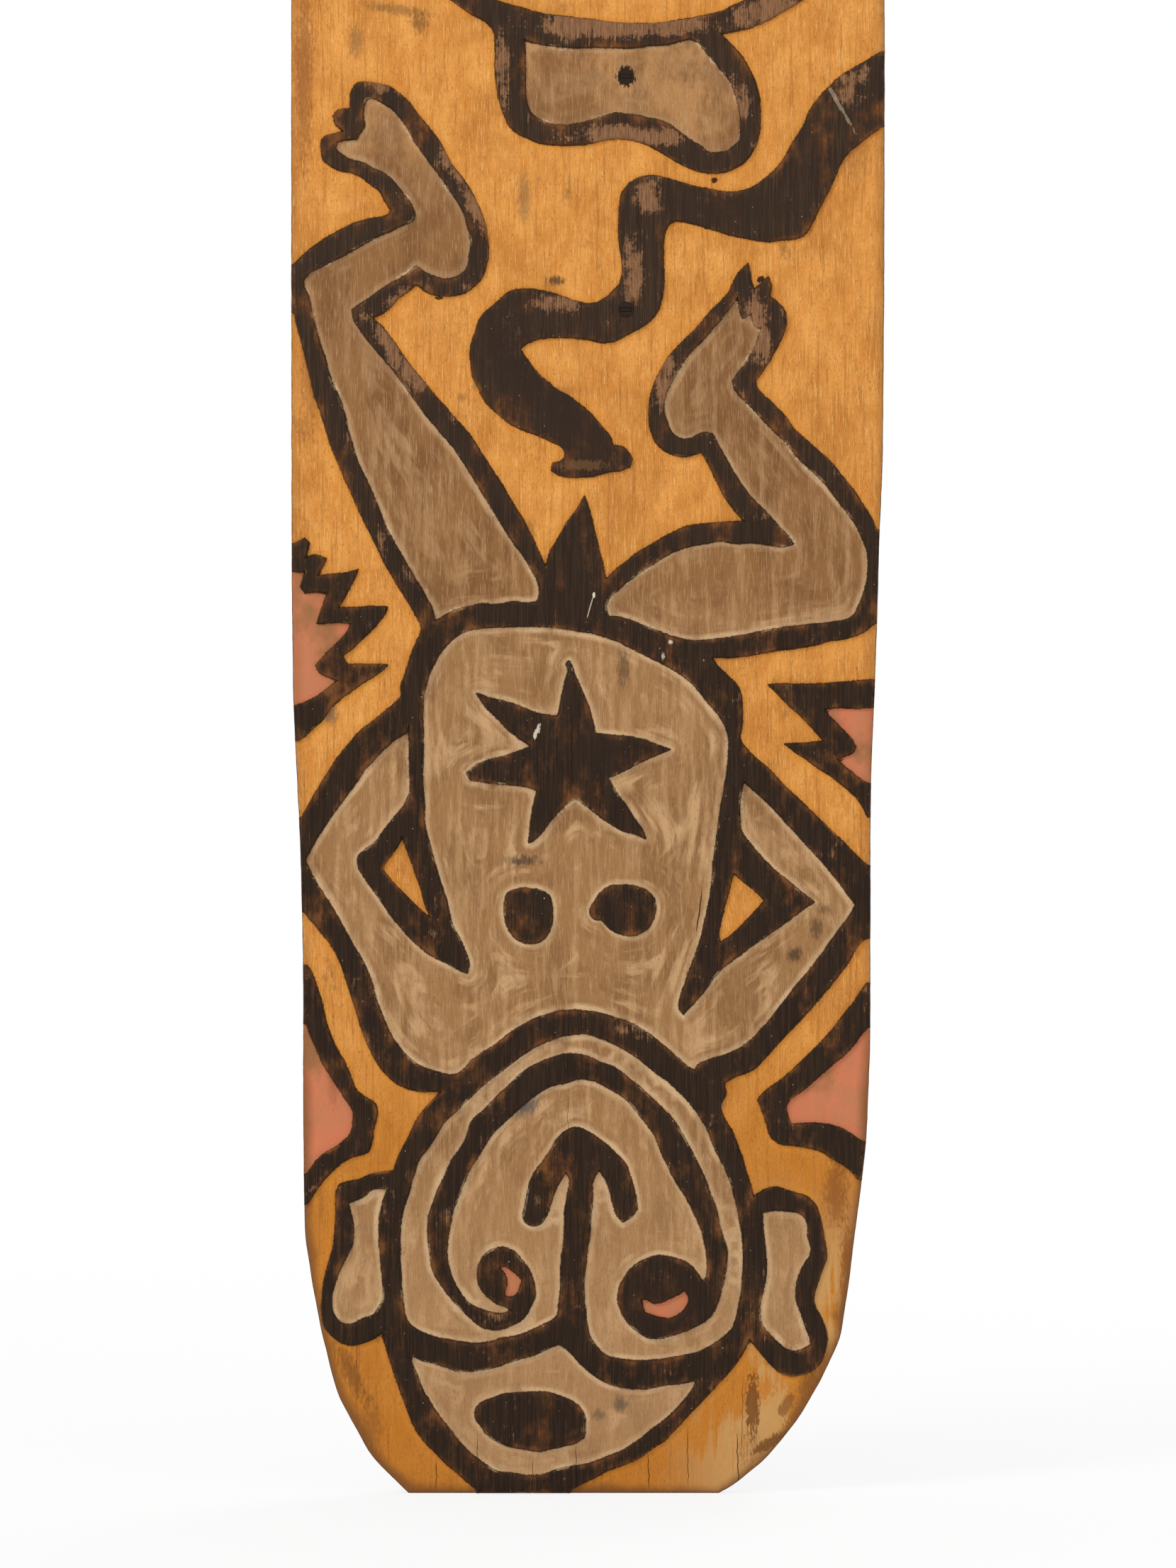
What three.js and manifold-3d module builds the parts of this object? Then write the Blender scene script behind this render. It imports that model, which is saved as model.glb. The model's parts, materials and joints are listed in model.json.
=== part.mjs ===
// A tall carved plank shield with a swinging cane grip on its back.
// Millimetres. +Z is up the plank, -Y is the carved front, +X is to the right of who looks at the front.
// The origin is on the foot edge, halfway through the plank's thickness and below its middle.

import * as THREE from 'three';
import * as BufferGeometryUtils from 'three/addons/utils/BufferGeometryUtils.js';
import Module from 'manifold-3d';

const wasm = await Module();
wasm.setup();

// Plank
const boardWidth = 450;
const boardLength = 1600;
const boardThickness = 24;
const edgeRound = 4;

// Carving: how deep the fields are cut, and the height that a whole vertical share stands for
const carvingDepth = 3;
const figurePitch = 450;
const wholeShare = 1000;
const cutOverrun = 5;

// Grip: where its two eyes stand, and the cane bow that swings in them
const gripAcross = 28.8;
const gripHeight = 987.8;
const eyeSpacing = 177.4;
const tenonRadius = 5.8;
const fitGap = 0.3;
const lugHeight = 24;
const lugFootWidth = 40;
const lugFootDepth = 7;
const eyeOuterRadius = 14;
const eyeStandOff = 24;
const caneRadius = 6;
const swingGap = 0.8;
const bowReach = 44;
const bowStub = 22;
const bowBend = 26;

// Wedges in the tenon ends
const wedgeDepth = 15;
const wedgeWidth = 8.2;
const wedgeThick = 2.6;
const wedgeThin = 1;

// Windings
const wrapEndGap = 2.7;
const wrapThickness = 1.8;
const whippingHeight = 11;
const whippingThickness = 3;

// How finely round stretches are cut
const roundSides = 24;
const caneSides = 14;
const bowSteps = 44;

// Outline of the plank: across in thousandths of its width, and up in thousandths of the figure pitch
const leftEdgeShares = [
  [-303, 0], [-327, 23], [-349, 45], [-368, 67], [-385, 97], [-402, 128], [-422, 167], [-432, 199],
  [-444, 248], [-450, 272], [-459, 320], [-465, 349], [-471, 390], [-477, 430], [-479, 480],
  [-481, 666], [-481, 850], [-486, 1091], [-491, 1197], [-497, 1324], [-500, 1492],
];
const rightEdgeShares = [
  [221, 0], [244, 13], [276, 38], [294, 53], [326, 89], [353, 123], [361, 135], [379, 166], [394, 193],
  [408, 222], [415, 237], [426, 264], [432, 300], [440, 349], [447, 410], [459, 500], [470, 600],
  [473, 666], [476, 740], [477, 929], [478, 1197], [484, 1354], [488, 1462], [492, 1608], [497, 1725],
  [500, 1994],
];

// Outline of the crown: across as above, and down from the plank's top end
const crownShares = [
  [500, 430], [496, 330], [482, 240], [455, 165], [415, 105], [360, 60], [290, 28], [210, 9], [120, 0],
  [-120, 0], [-210, 9], [-290, 28], [-360, 60], [-415, 105], [-455, 165], [-482, 240], [-496, 330],
  [-500, 430],
];

// Outlines of the carving, in the same thousandths. Fields that run off the plank end outside its outline.

// The ochre ground around the snake, the upper legs and the crest
const upperGroundShares = [
  [-560, 2030], [-500, 2070], [-479, 2091], [-462, 2106], [-440, 2119], [-419, 2132], [-397, 2143],
  [-376, 2149], [-337, 2158], [-332, 2166], [-342, 2181], [-350, 2196], [-367, 2209], [-380, 2220],
  [-397, 2229], [-419, 2233], [-436, 2242], [-447, 2252], [-450, 2267], [-451, 2282], [-445, 2291],
  [-427, 2295], [-412, 2299], [-427, 2312], [-430, 2325], [-423, 2334], [-401, 2337], [-401, 2353],
  [-398, 2370], [-389, 2381], [-372, 2383], [-355, 2380], [-337, 2375], [-320, 2364], [-303, 2349],
  [-286, 2327], [-269, 2306], [-251, 2282], [-226, 2237], [-209, 2216], [-196, 2194], [-183, 2169],
  [-174, 2143], [-169, 2113], [-168, 2091], [-174, 2065], [-183, 2048], [-196, 2035], [-213, 2025],
  [-234, 2021], [-256, 2022], [-273, 2029], [-290, 2042], [-303, 2031], [-320, 2018], [-337, 2001],
  [-350, 1991], [-364, 1985], [-350, 1971], [-333, 1950], [-316, 1926], [-299, 1902], [-279, 1879],
  [-239, 1832], [-221, 1810], [-200, 1787], [-174, 1746], [-140, 1694], [-114, 1651], [-101, 1626],
  [-88, 1600], [-80, 1583], [-72, 1564], [-69, 1574], [-63, 1591], [-52, 1609], [-33, 1643],
  [-20, 1660], [-6, 1684], [2, 1660], [8, 1634], [15, 1609], [21, 1583], [30, 1543], [45, 1557],
  [66, 1574], [88, 1591], [109, 1602], [135, 1617], [161, 1630], [178, 1634], [229, 1639], [265, 1641],
  [255, 1651], [242, 1666], [231, 1681], [221, 1701], [210, 1724], [192, 1757], [182, 1754],
  [165, 1750], [148, 1752], [131, 1759], [118, 1770], [109, 1785], [104, 1802], [103, 1823],
  [104, 1845], [109, 1866], [118, 1887], [126, 1902], [137, 1920], [148, 1932], [182, 1967],
  [212, 1999], [238, 2027], [246, 2044], [255, 2061], [270, 2077], [274, 2061], [276, 2044],
  [280, 2032], [289, 2040], [304, 2054], [309, 2040], [306, 2020], [319, 2010], [330, 1999],
  [334, 1984], [332, 1962], [321, 1941], [298, 1898], [284, 1877], [285, 1868], [298, 1853],
  [332, 1819], [345, 1800], [388, 1761], [409, 1742], [427, 1720], [444, 1699], [461, 1673],
  [476, 1651], [489, 1621], [560, 1540], [560, 3700], [-560, 3700],
];
const snakeShares = [
  [560, 2470], [500, 2437], [482, 2426], [465, 2415], [444, 2403], [422, 2388], [405, 2370],
  [388, 2353], [375, 2336], [367, 2315], [341, 2272], [332, 2254], [319, 2237], [302, 2222],
  [285, 2209], [268, 2201], [246, 2196], [221, 2199], [195, 2203], [148, 2216], [122, 2222],
  [100, 2224], [83, 2220], [70, 2211], [60, 2199], [54, 2177], [52, 2156], [53, 2108], [57, 2083],
  [58, 2061], [53, 2040], [40, 2027], [23, 2014], [6, 2008], [-20, 2012], [-41, 2020], [-63, 2027],
  [-84, 2031], [-106, 2034], [-127, 2031], [-144, 2020], [-157, 2008], [-170, 1997], [-183, 1980],
  [-191, 1958], [-198, 1932], [-197, 1907], [-194, 1885], [-187, 1868], [-170, 1840], [-153, 1823],
  [-136, 1808], [-114, 1797], [-93, 1789], [-58, 1774], [-45, 1767], [-39, 1759], [-39, 1748],
  [-48, 1742], [-60, 1738], [-61, 1727], [-50, 1719], [-15, 1715], [10, 1718], [32, 1724], [53, 1727],
  [70, 1733], [75, 1746], [68, 1759], [58, 1767], [42, 1768], [38, 1782], [27, 1797], [15, 1812],
  [2, 1825], [-20, 1843], [-37, 1855], [-50, 1862], [-67, 1875], [-80, 1887], [-93, 1902],
  [-106, 1919], [-115, 1931], [-106, 1939], [-88, 1947], [-67, 1951], [-20, 1950], [6, 1947],
  [23, 1943], [45, 1945], [66, 1956], [88, 1967], [105, 1980], [118, 1997], [125, 2018], [128, 2040],
  [127, 2083], [128, 2126], [133, 2138], [143, 2147], [161, 2147], [178, 2143], [221, 2130],
  [264, 2119], [306, 2113], [328, 2116], [349, 2119], [362, 2123], [375, 2138], [386, 2160],
  [409, 2203], [418, 2224], [427, 2246], [439, 2263], [457, 2278], [474, 2291], [491, 2304],
  [560, 2350],
];

// The crest: a round head in a broad rim, with a grey chin block under it
const crestShares = [
  [-230, 2521], [-213, 2508], [-196, 2497], [-168, 2482], [-159, 2469], [-156, 2452], [-157, 2409],
  [-155, 2383], [-151, 2357], [-140, 2323], [-131, 2306], [-118, 2295], [-101, 2287], [-84, 2280],
  [-41, 2276], [0, 2278], [32, 2285], [53, 2287], [75, 2285], [96, 2279], [118, 2267], [139, 2254],
  [161, 2242], [182, 2233], [203, 2229], [225, 2229], [246, 2237], [264, 2248], [276, 2263],
  [285, 2280], [290, 2306], [291, 2332], [288, 2357], [283, 2379], [274, 2398], [264, 2418],
  [238, 2450], [224, 2463], [246, 2468], [268, 2473], [289, 2480], [311, 2491], [332, 2503],
  [362, 2521], [395, 2548], [420, 2590], [436, 2650], [444, 2730], [446, 2830], [442, 2940],
  [428, 3050], [400, 3160], [352, 3260], [280, 3345], [190, 3400], [90, 3428], [0, 3435],
  [-100, 3425], [-200, 3390], [-285, 3330], [-350, 3245], [-390, 3140], [-408, 3030], [-414, 2920],
  [-412, 2820], [-402, 2720], [-378, 2640], [-335, 2580], [-280, 2545],
];
const crestFieldShares = [
  [-157, 2521], [-136, 2514], [-114, 2508], [-93, 2501], [-67, 2496], [-41, 2493], [-11, 2489],
  [15, 2487], [40, 2484], [92, 2481], [118, 2482], [143, 2485], [169, 2489], [195, 2494], [221, 2501],
  [246, 2512], [285, 2531], [320, 2555], [345, 2585], [372, 2630], [390, 2700], [398, 2800],
  [396, 2900], [386, 3010], [362, 3120], [318, 3215], [252, 3295], [172, 3348], [85, 3375], [0, 3382],
  [-92, 3372], [-180, 3340], [-250, 3285], [-306, 3210], [-342, 3115], [-358, 3015], [-364, 2915],
  [-362, 2825], [-352, 2735], [-330, 2665], [-295, 2610], [-250, 2568], [-205, 2540],
];
const chinBlockShares = [
  [-108, 2456], [-101, 2452], [-84, 2448], [-41, 2441], [10, 2441], [75, 2441], [100, 2443],
  [126, 2445], [148, 2450], [169, 2455], [178, 2454], [188, 2448], [199, 2433], [225, 2403],
  [238, 2388], [246, 2370], [253, 2349], [258, 2327], [258, 2302], [257, 2285], [248, 2276],
  [238, 2267], [221, 2263], [203, 2264], [191, 2274], [173, 2284], [156, 2297], [139, 2310],
  [122, 2317], [105, 2321], [62, 2329], [45, 2330], [27, 2325], [10, 2319], [-11, 2313], [-41, 2309],
  [-63, 2312], [-80, 2319], [-93, 2327], [-101, 2340], [-105, 2357], [-106, 2405],
];

// The two bent legs
const leftLegShares = [
  [-374, 2353], [-363, 2355], [-350, 2349], [-333, 2340], [-320, 2327], [-307, 2308], [-292, 2282],
  [-275, 2259], [-239, 2207], [-221, 2181], [-209, 2160], [-202, 2134], [-198, 2108], [-200, 2087],
  [-204, 2070], [-213, 2059], [-226, 2052], [-239, 2049], [-256, 2053], [-273, 2060], [-290, 2071],
  [-303, 2061], [-337, 2040], [-372, 2016], [-398, 1998], [-395, 1982], [-385, 1965], [-355, 1926],
  [-337, 1907], [-303, 1860], [-269, 1815], [-226, 1763], [-187, 1703], [-148, 1639], [-110, 1583],
  [-95, 1557], [-84, 1536], [-82, 1518], [-84, 1505], [-101, 1503], [-127, 1505], [-153, 1500],
  [-179, 1501], [-204, 1496], [-226, 1490], [-247, 1479], [-259, 1472], [-262, 1490], [-273, 1512],
  [-299, 1557], [-329, 1609], [-342, 1634], [-363, 1686], [-389, 1742], [-397, 1767], [-406, 1797],
  [-412, 1827], [-421, 1853], [-434, 1881], [-442, 1907], [-460, 1967], [-473, 2023], [-480, 2045],
  [-473, 2057], [-436, 2078], [-410, 2091], [-359, 2119], [-333, 2132], [-312, 2141], [-297, 2147],
  [-293, 2158], [-297, 2173], [-307, 2188], [-329, 2216], [-342, 2227], [-359, 2235], [-380, 2246],
  [-402, 2252], [-417, 2261], [-427, 2270], [-424, 2281], [-410, 2285], [-390, 2286], [-385, 2297],
  [-378, 2310], [-380, 2323], [-379, 2336],
];
const rightLegShares = [
  [253, 2019], [246, 2010], [225, 1984], [191, 1945], [173, 1926], [148, 1887], [137, 1868],
  [131, 1853], [128, 1832], [133, 1810], [139, 1793], [148, 1785], [161, 1779], [173, 1780],
  [186, 1787], [199, 1791], [210, 1789], [216, 1778], [225, 1761], [246, 1724], [259, 1703],
  [276, 1681], [311, 1645], [328, 1626], [341, 1613], [348, 1602], [324, 1598], [306, 1601],
  [285, 1604], [246, 1604], [227, 1608], [203, 1604], [161, 1596], [139, 1587], [96, 1559],
  [53, 1527], [36, 1510], [31, 1497], [34, 1481], [53, 1479], [75, 1473], [118, 1456], [139, 1447],
  [161, 1441], [182, 1439], [203, 1441], [255, 1447], [306, 1458], [358, 1465], [409, 1470],
  [435, 1475], [450, 1484], [457, 1497], [463, 1512], [469, 1531], [473, 1553], [474, 1574],
  [470, 1596], [463, 1613], [454, 1632], [431, 1664], [403, 1701], [386, 1718], [349, 1754],
  [332, 1776], [315, 1793], [281, 1827], [264, 1845], [248, 1864], [244, 1877], [255, 1894],
  [268, 1911], [281, 1932], [289, 1954], [293, 1968], [285, 1969], [279, 1976], [276, 1992],
  [268, 1987], [261, 1984], [257, 1994],
];

// Ochre and red along the left edge, between the toothed bands
const leftGroundShares = [
  [-560, 2060], [-505, 2040], [-498, 2005], [-492, 1975], [-477, 1919], [-460, 1849], [-449, 1819],
  [-430, 1759], [-404, 1699], [-389, 1664], [-359, 1604], [-342, 1570], [-307, 1510], [-292, 1484],
  [-281, 1459], [-288, 1441], [-297, 1420], [-303, 1402], [-309, 1381], [-316, 1364], [-316, 1346],
  [-329, 1332], [-363, 1304], [-397, 1274], [-421, 1244], [-445, 1207], [-458, 1186], [-470, 1164],
  [-480, 1147], [-490, 1125], [-560, 1060], [-560, 1240], [-493, 1268], [-475, 1280], [-462, 1293],
  [-449, 1304], [-432, 1329], [-410, 1347], [-380, 1368], [-346, 1390], [-338, 1399], [-363, 1400],
  [-406, 1399], [-414, 1413], [-400, 1424], [-370, 1452], [-346, 1480], [-339, 1496], [-363, 1497],
  [-421, 1495], [-412, 1510], [-395, 1544], [-388, 1560], [-410, 1554], [-457, 1548], [-449, 1563],
  [-442, 1578], [-462, 1584], [-477, 1578], [-470, 1604], [-479, 1613], [-498, 1602], [-560, 1596],
];
const leftRedShares = [
  [-560, 1562], [-496, 1556], [-477, 1556], [-481, 1542], [-485, 1531], [-478, 1520], [-462, 1522],
  [-440, 1520], [-445, 1505], [-451, 1488], [-457, 1469], [-421, 1470], [-400, 1468], [-406, 1456],
  [-417, 1443], [-442, 1417], [-460, 1398], [-453, 1385], [-440, 1379], [-422, 1372], [-436, 1362],
  [-449, 1351], [-466, 1340], [-483, 1333], [-496, 1329], [-560, 1320],
];
const rightGroundShares = [
  [560, 1500], [485, 1469], [474, 1460], [457, 1450], [435, 1443], [409, 1439], [384, 1432],
  [332, 1425], [285, 1417], [233, 1411], [209, 1411], [216, 1400], [229, 1387], [242, 1374],
  [253, 1362], [259, 1342], [260, 1321], [258, 1290], [256, 1276], [264, 1261], [276, 1248],
  [303, 1225], [336, 1190], [379, 1149], [422, 1109], [444, 1087], [461, 1070], [476, 1057],
  [560, 1000], [560, 1085], [476, 1130], [470, 1147], [457, 1169], [439, 1188], [418, 1205],
  [397, 1219], [362, 1243], [345, 1254], [332, 1265], [349, 1266], [384, 1268], [398, 1270],
  [392, 1276], [367, 1304], [341, 1329], [317, 1353], [305, 1365], [332, 1366], [384, 1366],
  [435, 1369], [482, 1374], [560, 1380],
];
const rightRedShares = [
  [560, 1332], [478, 1326], [457, 1325], [414, 1326], [399, 1323], [407, 1312], [431, 1289],
  [444, 1274], [452, 1261], [448, 1251], [435, 1246], [419, 1239], [431, 1227], [444, 1217],
  [465, 1202], [478, 1194], [560, 1160],
];

// The trunk with its two bent arms, the star on the chest and the two round marks
const trunkShares = [
  [-278, 1342], [-273, 1364], [-267, 1385], [-256, 1407], [-243, 1428], [-228, 1443], [-209, 1454],
  [-187, 1460], [-131, 1463], [-76, 1463], [-24, 1457], [10, 1451], [32, 1445], [53, 1437],
  [96, 1415], [139, 1394], [161, 1379], [178, 1364], [208, 1329], [221, 1312], [231, 1295],
  [237, 1274], [237, 1248], [234, 1210], [227, 1169], [216, 1100], [212, 1066], [206, 1005],
  [199, 971], [182, 911], [163, 859], [156, 838], [154, 817], [161, 808], [171, 819], [195, 847],
  [225, 885], [246, 902], [289, 932], [332, 963], [371, 992], [382, 998], [373, 1005], [341, 1031],
  [306, 1061], [272, 1098], [259, 1117], [257, 1139], [257, 1160], [259, 1186], [263, 1201],
  [281, 1186], [315, 1154], [349, 1117], [384, 1078], [422, 1033], [439, 1010], [452, 994],
  [442, 975], [418, 943], [392, 907], [358, 864], [324, 821], [294, 784], [264, 756], [246, 746],
  [225, 737], [203, 731], [186, 723], [180, 714], [169, 720], [139, 746], [100, 778], [79, 791],
  [36, 806], [12, 812], [-12, 814], [-41, 814], [-63, 810], [-84, 804], [-127, 780], [-161, 754],
  [-196, 731], [-206, 719], [-217, 709], [-234, 706], [-256, 711], [-290, 726], [-307, 741],
  [-324, 761], [-337, 782], [-348, 808], [-357, 834], [-374, 885], [-400, 932], [-427, 980],
  [-458, 1031], [-470, 1053], [-477, 1068], [-473, 1079], [-464, 1096], [-427, 1151], [-389, 1203],
  [-376, 1222], [-359, 1241], [-342, 1259], [-324, 1274], [-307, 1286], [-302, 1298], [-302, 1250],
  [-302, 1182], [-312, 1160], [-329, 1139], [-346, 1117], [-359, 1100], [-376, 1087], [-388, 1076],
  [-389, 1066], [-385, 1053], [-357, 1010], [-325, 967], [-290, 928], [-269, 911], [-230, 890],
  [-213, 881], [-203, 878], [-201, 894], [-217, 937], [-228, 958], [-241, 1005], [-258, 1061],
  [-271, 1109], [-277, 1134], [-277, 1164], [-279, 1207], [-278, 1261],
];
const starShares = [
  [-33, 1406], [-28, 1398], [-18, 1372], [-7, 1348], [4, 1317], [12, 1282], [32, 1280], [75, 1276],
  [96, 1271], [118, 1263], [140, 1256], [122, 1249], [98, 1239], [62, 1220], [34, 1207], [49, 1182],
  [62, 1164], [75, 1143], [88, 1126], [98, 1105], [83, 1111], [58, 1119], [36, 1132], [0, 1158],
  [-20, 1173], [-35, 1164], [-50, 1149], [-67, 1130], [-84, 1109], [-100, 1098], [-97, 1121],
  [-95, 1143], [-91, 1164], [-86, 1187], [-110, 1194], [-144, 1197], [-200, 1204], [-205, 1217],
  [-183, 1233], [-136, 1246], [-97, 1261], [-123, 1280], [-157, 1312], [-174, 1329], [-189, 1351],
  [-170, 1344], [-127, 1333], [-84, 1317], [-51, 1311], [-48, 1325], [-41, 1360], [-34, 1390],
  [-38, 1400],
];
const leftMarkShares = [
  [-141, 997], [-136, 1012], [-118, 1020], [-99, 1021], [-80, 1018], [-65, 1008], [-61, 988],
  [-60, 967], [-67, 945], [-80, 932], [-99, 928], [-118, 934], [-133, 950], [-141, 972],
];
const rightMarkShares = [
  [10, 997], [23, 1016], [38, 1025], [58, 1027], [79, 1025], [98, 1018], [111, 1005], [114, 988],
  [111, 971], [101, 954], [85, 944], [70, 941], [53, 945], [36, 954], [23, 967], [11, 969], [5, 976],
  [4, 986],
];
const leftWindowShares = [
  [-314, 1109], [-307, 1091], [-299, 1070], [-290, 1044], [-282, 1018], [-275, 993], [-265, 971],
  [-279, 982], [-312, 1014], [-333, 1036], [-348, 1054], [-337, 1070], [-320, 1094],
];
const rightWindowShares = [
  [246, 1047], [264, 1031], [281, 1018], [299, 1000], [272, 971], [255, 954], [238, 939], [224, 930],
  [221, 938], [223, 958], [229, 984], [236, 1010],
];

// Ochre and red along the lower edges
const lowerLeftGroundShares = [
  [-560, 1040], [-483, 988], [-470, 971], [-453, 950], [-436, 928], [-421, 902], [-410, 872],
  [-391, 812], [-380, 778], [-367, 748], [-350, 718], [-329, 696], [-303, 683], [-277, 678],
  [-247, 678], [-260, 666], [-277, 647], [-290, 628], [-301, 606], [-314, 582], [-322, 563],
  [-328, 545], [-354, 541], [-370, 537], [-386, 529], [-406, 525], [-418, 521], [-424, 511],
  [-426, 467], [-430, 415], [-442, 375], [-449, 327], [-449, 303], [-444, 279], [-434, 267],
  [-418, 255], [-402, 250], [-382, 253], [-362, 261], [-348, 271], [-342, 251], [-334, 224],
  [-312, 160], [-300, 128], [-286, 100], [-266, 76], [-242, 52], [-218, 32], [-199, 16], [-183, 2],
  [-165, -60], [-560, -60], [-560, 440], [-478, 478], [-462, 507], [-442, 535], [-428, 549],
  [-414, 560], [-398, 568], [-382, 572], [-370, 578], [-366, 590], [-363, 610], [-359, 628],
  [-356, 647], [-361, 658], [-389, 679], [-406, 718], [-430, 761], [-440, 787], [-451, 834],
  [-458, 855], [-466, 877], [-478, 896], [-560, 960],
];
const lowerLeftRedShares = [
  [-560, 850], [-477, 799], [-466, 769], [-447, 726], [-434, 703], [-406, 662], [-398, 649],
  [-397, 628], [-402, 606], [-418, 590], [-450, 570], [-462, 556], [-478, 532], [-560, 470],
];
const lowerRightGroundShares = [
  [560, 990], [476, 941], [459, 928], [435, 890], [401, 847], [366, 808], [332, 772], [298, 733],
  [285, 720], [268, 711], [246, 703], [229, 692], [233, 677], [224, 652], [229, 636], [242, 613],
  [250, 594], [260, 566], [268, 539], [276, 515], [279, 500], [288, 507], [300, 513], [316, 517],
  [332, 513], [352, 507], [368, 501], [380, 491], [390, 471], [396, 447], [402, 395], [396, 379],
  [384, 343], [380, 327], [382, 315], [392, 299], [400, 279], [403, 259], [400, 239], [392, 219],
  [380, 207], [360, 199], [340, 198], [324, 204], [308, 218], [284, 247], [273, 260], [264, 243],
  [248, 216], [208, 172], [172, 134], [152, 112], [128, 88], [104, 72], [85, 58], [37, 40], [13, 28],
  [-11, 16], [-39, 1], [-70, -60], [560, -60], [560, 470], [461, 522], [453, 533], [443, 545],
  [427, 557], [411, 566], [392, 578], [372, 583], [348, 587], [324, 590], [311, 600], [302, 623],
  [294, 645], [287, 664], [298, 677], [332, 703], [366, 735], [401, 769], [435, 812], [452, 834],
  [463, 851], [474, 866], [560, 930],
];
const lowerRightRedShares = [
  [560, 870], [474, 788], [461, 774], [448, 756], [431, 739], [397, 711], [362, 679], [341, 664],
  [335, 653], [337, 638], [343, 623], [375, 625], [397, 623], [418, 619], [439, 610], [457, 598],
  [470, 590], [560, 545],
];

// The head: a grey mask field, its dark brow with round eyes, the muzzle, the mouth and the ears
const headShares = [
  [-30, 822], [-90, 815], [-150, 790], [-205, 755], [-255, 700], [-295, 640], [-325, 575],
  [-345, 510], [-358, 440], [-360, 370], [-352, 300], [-340, 235], [-320, 170], [-295, 110],
  [-262, 65], [-215, 22], [-160, -5], [-100, -14], [-40, -10], [20, 4], [80, 30], [135, 70],
  [180, 120], [215, 175], [248, 225], [275, 275], [292, 330], [300, 400], [296, 460], [284, 520],
  [268, 580], [245, 640], [210, 695], [165, 745], [110, 785], [45, 812],
];
const maskShares = [
  [0, 775], [21, 768], [53, 754], [83, 735], [113, 711], [139, 692], [165, 666], [182, 645],
  [199, 619], [214, 582], [228, 555], [242, 521], [250, 491], [257, 459], [261, 427], [262, 383],
  [260, 351], [257, 327], [251, 299], [244, 279], [228, 263], [212, 252], [188, 239], [160, 232],
  [128, 226], [93, 223], [61, 226], [33, 230], [25, 236], [9, 255], [-1, 279], [-5, 311], [-7, 351],
  [-3, 399], [3, 439], [7, 487], [8, 527], [19, 546], [29, 531], [37, 511], [43, 487], [49, 469],
  [59, 457], [75, 468], [84, 479], [79, 507], [71, 535], [61, 559], [45, 576], [27, 592], [10, 604],
  [-11, 615], [-25, 617], [-37, 612], [-50, 601], [-67, 574], [-83, 551], [-95, 531], [-103, 507],
  [-107, 483], [-109, 465], [-103, 455], [-91, 451], [-79, 455], [-71, 467], [-63, 487], [-55, 511],
  [-45, 531], [-37, 542], [-31, 531], [-33, 511], [-39, 475], [-39, 447], [-41, 415], [-46, 383],
  [-46, 359], [-47, 335], [-49, 315], [-53, 299], [-63, 291], [-79, 283], [-95, 275], [-115, 267],
  [-143, 261], [-163, 255], [-183, 253], [-211, 255], [-234, 259], [-258, 263], [-274, 269],
  [-290, 277], [-302, 287], [-308, 299], [-312, 319], [-314, 343], [-318, 407], [-317, 439],
  [-314, 467], [-308, 491], [-300, 517], [-294, 539], [-288, 559], [-274, 578], [-258, 602],
  [-247, 621], [-221, 647], [-196, 671], [-170, 694], [-144, 714], [-114, 737], [-84, 756],
  [-58, 767], [-28, 774],
];
const browShares = [
  [-11, 740], [23, 727], [49, 716], [70, 700], [88, 686], [103, 671], [126, 649], [143, 632],
  [161, 604], [176, 576], [188, 551], [198, 527], [208, 503], [218, 475], [224, 447], [230, 427],
  [235, 403], [234, 387], [230, 359], [222, 331], [212, 307], [200, 293], [180, 283], [156, 271],
  [132, 263], [112, 261], [96, 265], [81, 275], [65, 291], [55, 311], [51, 327], [53, 343], [61, 363],
  [77, 383], [96, 395], [116, 401], [136, 400], [152, 395], [168, 387], [180, 377], [188, 367],
  [194, 357], [200, 367], [202, 391], [198, 419], [190, 447], [180, 471], [164, 503], [148, 527],
  [134, 555], [124, 578], [110, 608], [92, 632], [75, 651], [58, 670], [36, 683], [10, 696],
  [-15, 699], [-41, 692], [-63, 687], [-84, 675], [-106, 658], [-131, 636], [-153, 615], [-168, 597],
  [-183, 572], [-195, 555], [-203, 539], [-211, 519], [-218, 499], [-226, 479], [-232, 459],
  [-238, 419], [-238, 399], [-235, 379], [-226, 355], [-216, 339], [-203, 323], [-187, 313],
  [-171, 307], [-147, 303], [-128, 309], [-139, 315], [-155, 321], [-167, 329], [-179, 343],
  [-186, 359], [-186, 377], [-181, 393], [-171, 407], [-159, 413], [-143, 415], [-127, 409],
  [-111, 393], [-99, 375], [-92, 355], [-90, 335], [-91, 327], [-99, 311], [-111, 293], [-127, 285],
  [-143, 279], [-163, 277], [-179, 281], [-198, 295], [-226, 323], [-242, 343], [-258, 367],
  [-264, 383], [-267, 399], [-270, 427], [-270, 447], [-268, 471], [-260, 495], [-254, 511],
  [-242, 535], [-232, 559], [-218, 578], [-205, 600], [-196, 628], [-174, 649], [-157, 666],
  [-136, 686], [-110, 711], [-84, 726], [-58, 736], [-36, 741],
];
const leftEyeShares = [
  [-150, 381], [-139, 383], [-127, 375], [-115, 365], [-111, 359], [-115, 347], [-121, 335],
  [-131, 331], [-140, 332], [-141, 341], [-137, 355], [-140, 367],
];
const rightEyeShares = [
  [89, 327], [100, 328], [108, 322], [124, 322], [140, 330], [152, 335], [164, 342], [168, 335],
  [170, 323], [164, 311], [152, 301], [140, 295], [124, 296], [108, 301], [96, 305], [92, 317],
];
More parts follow.
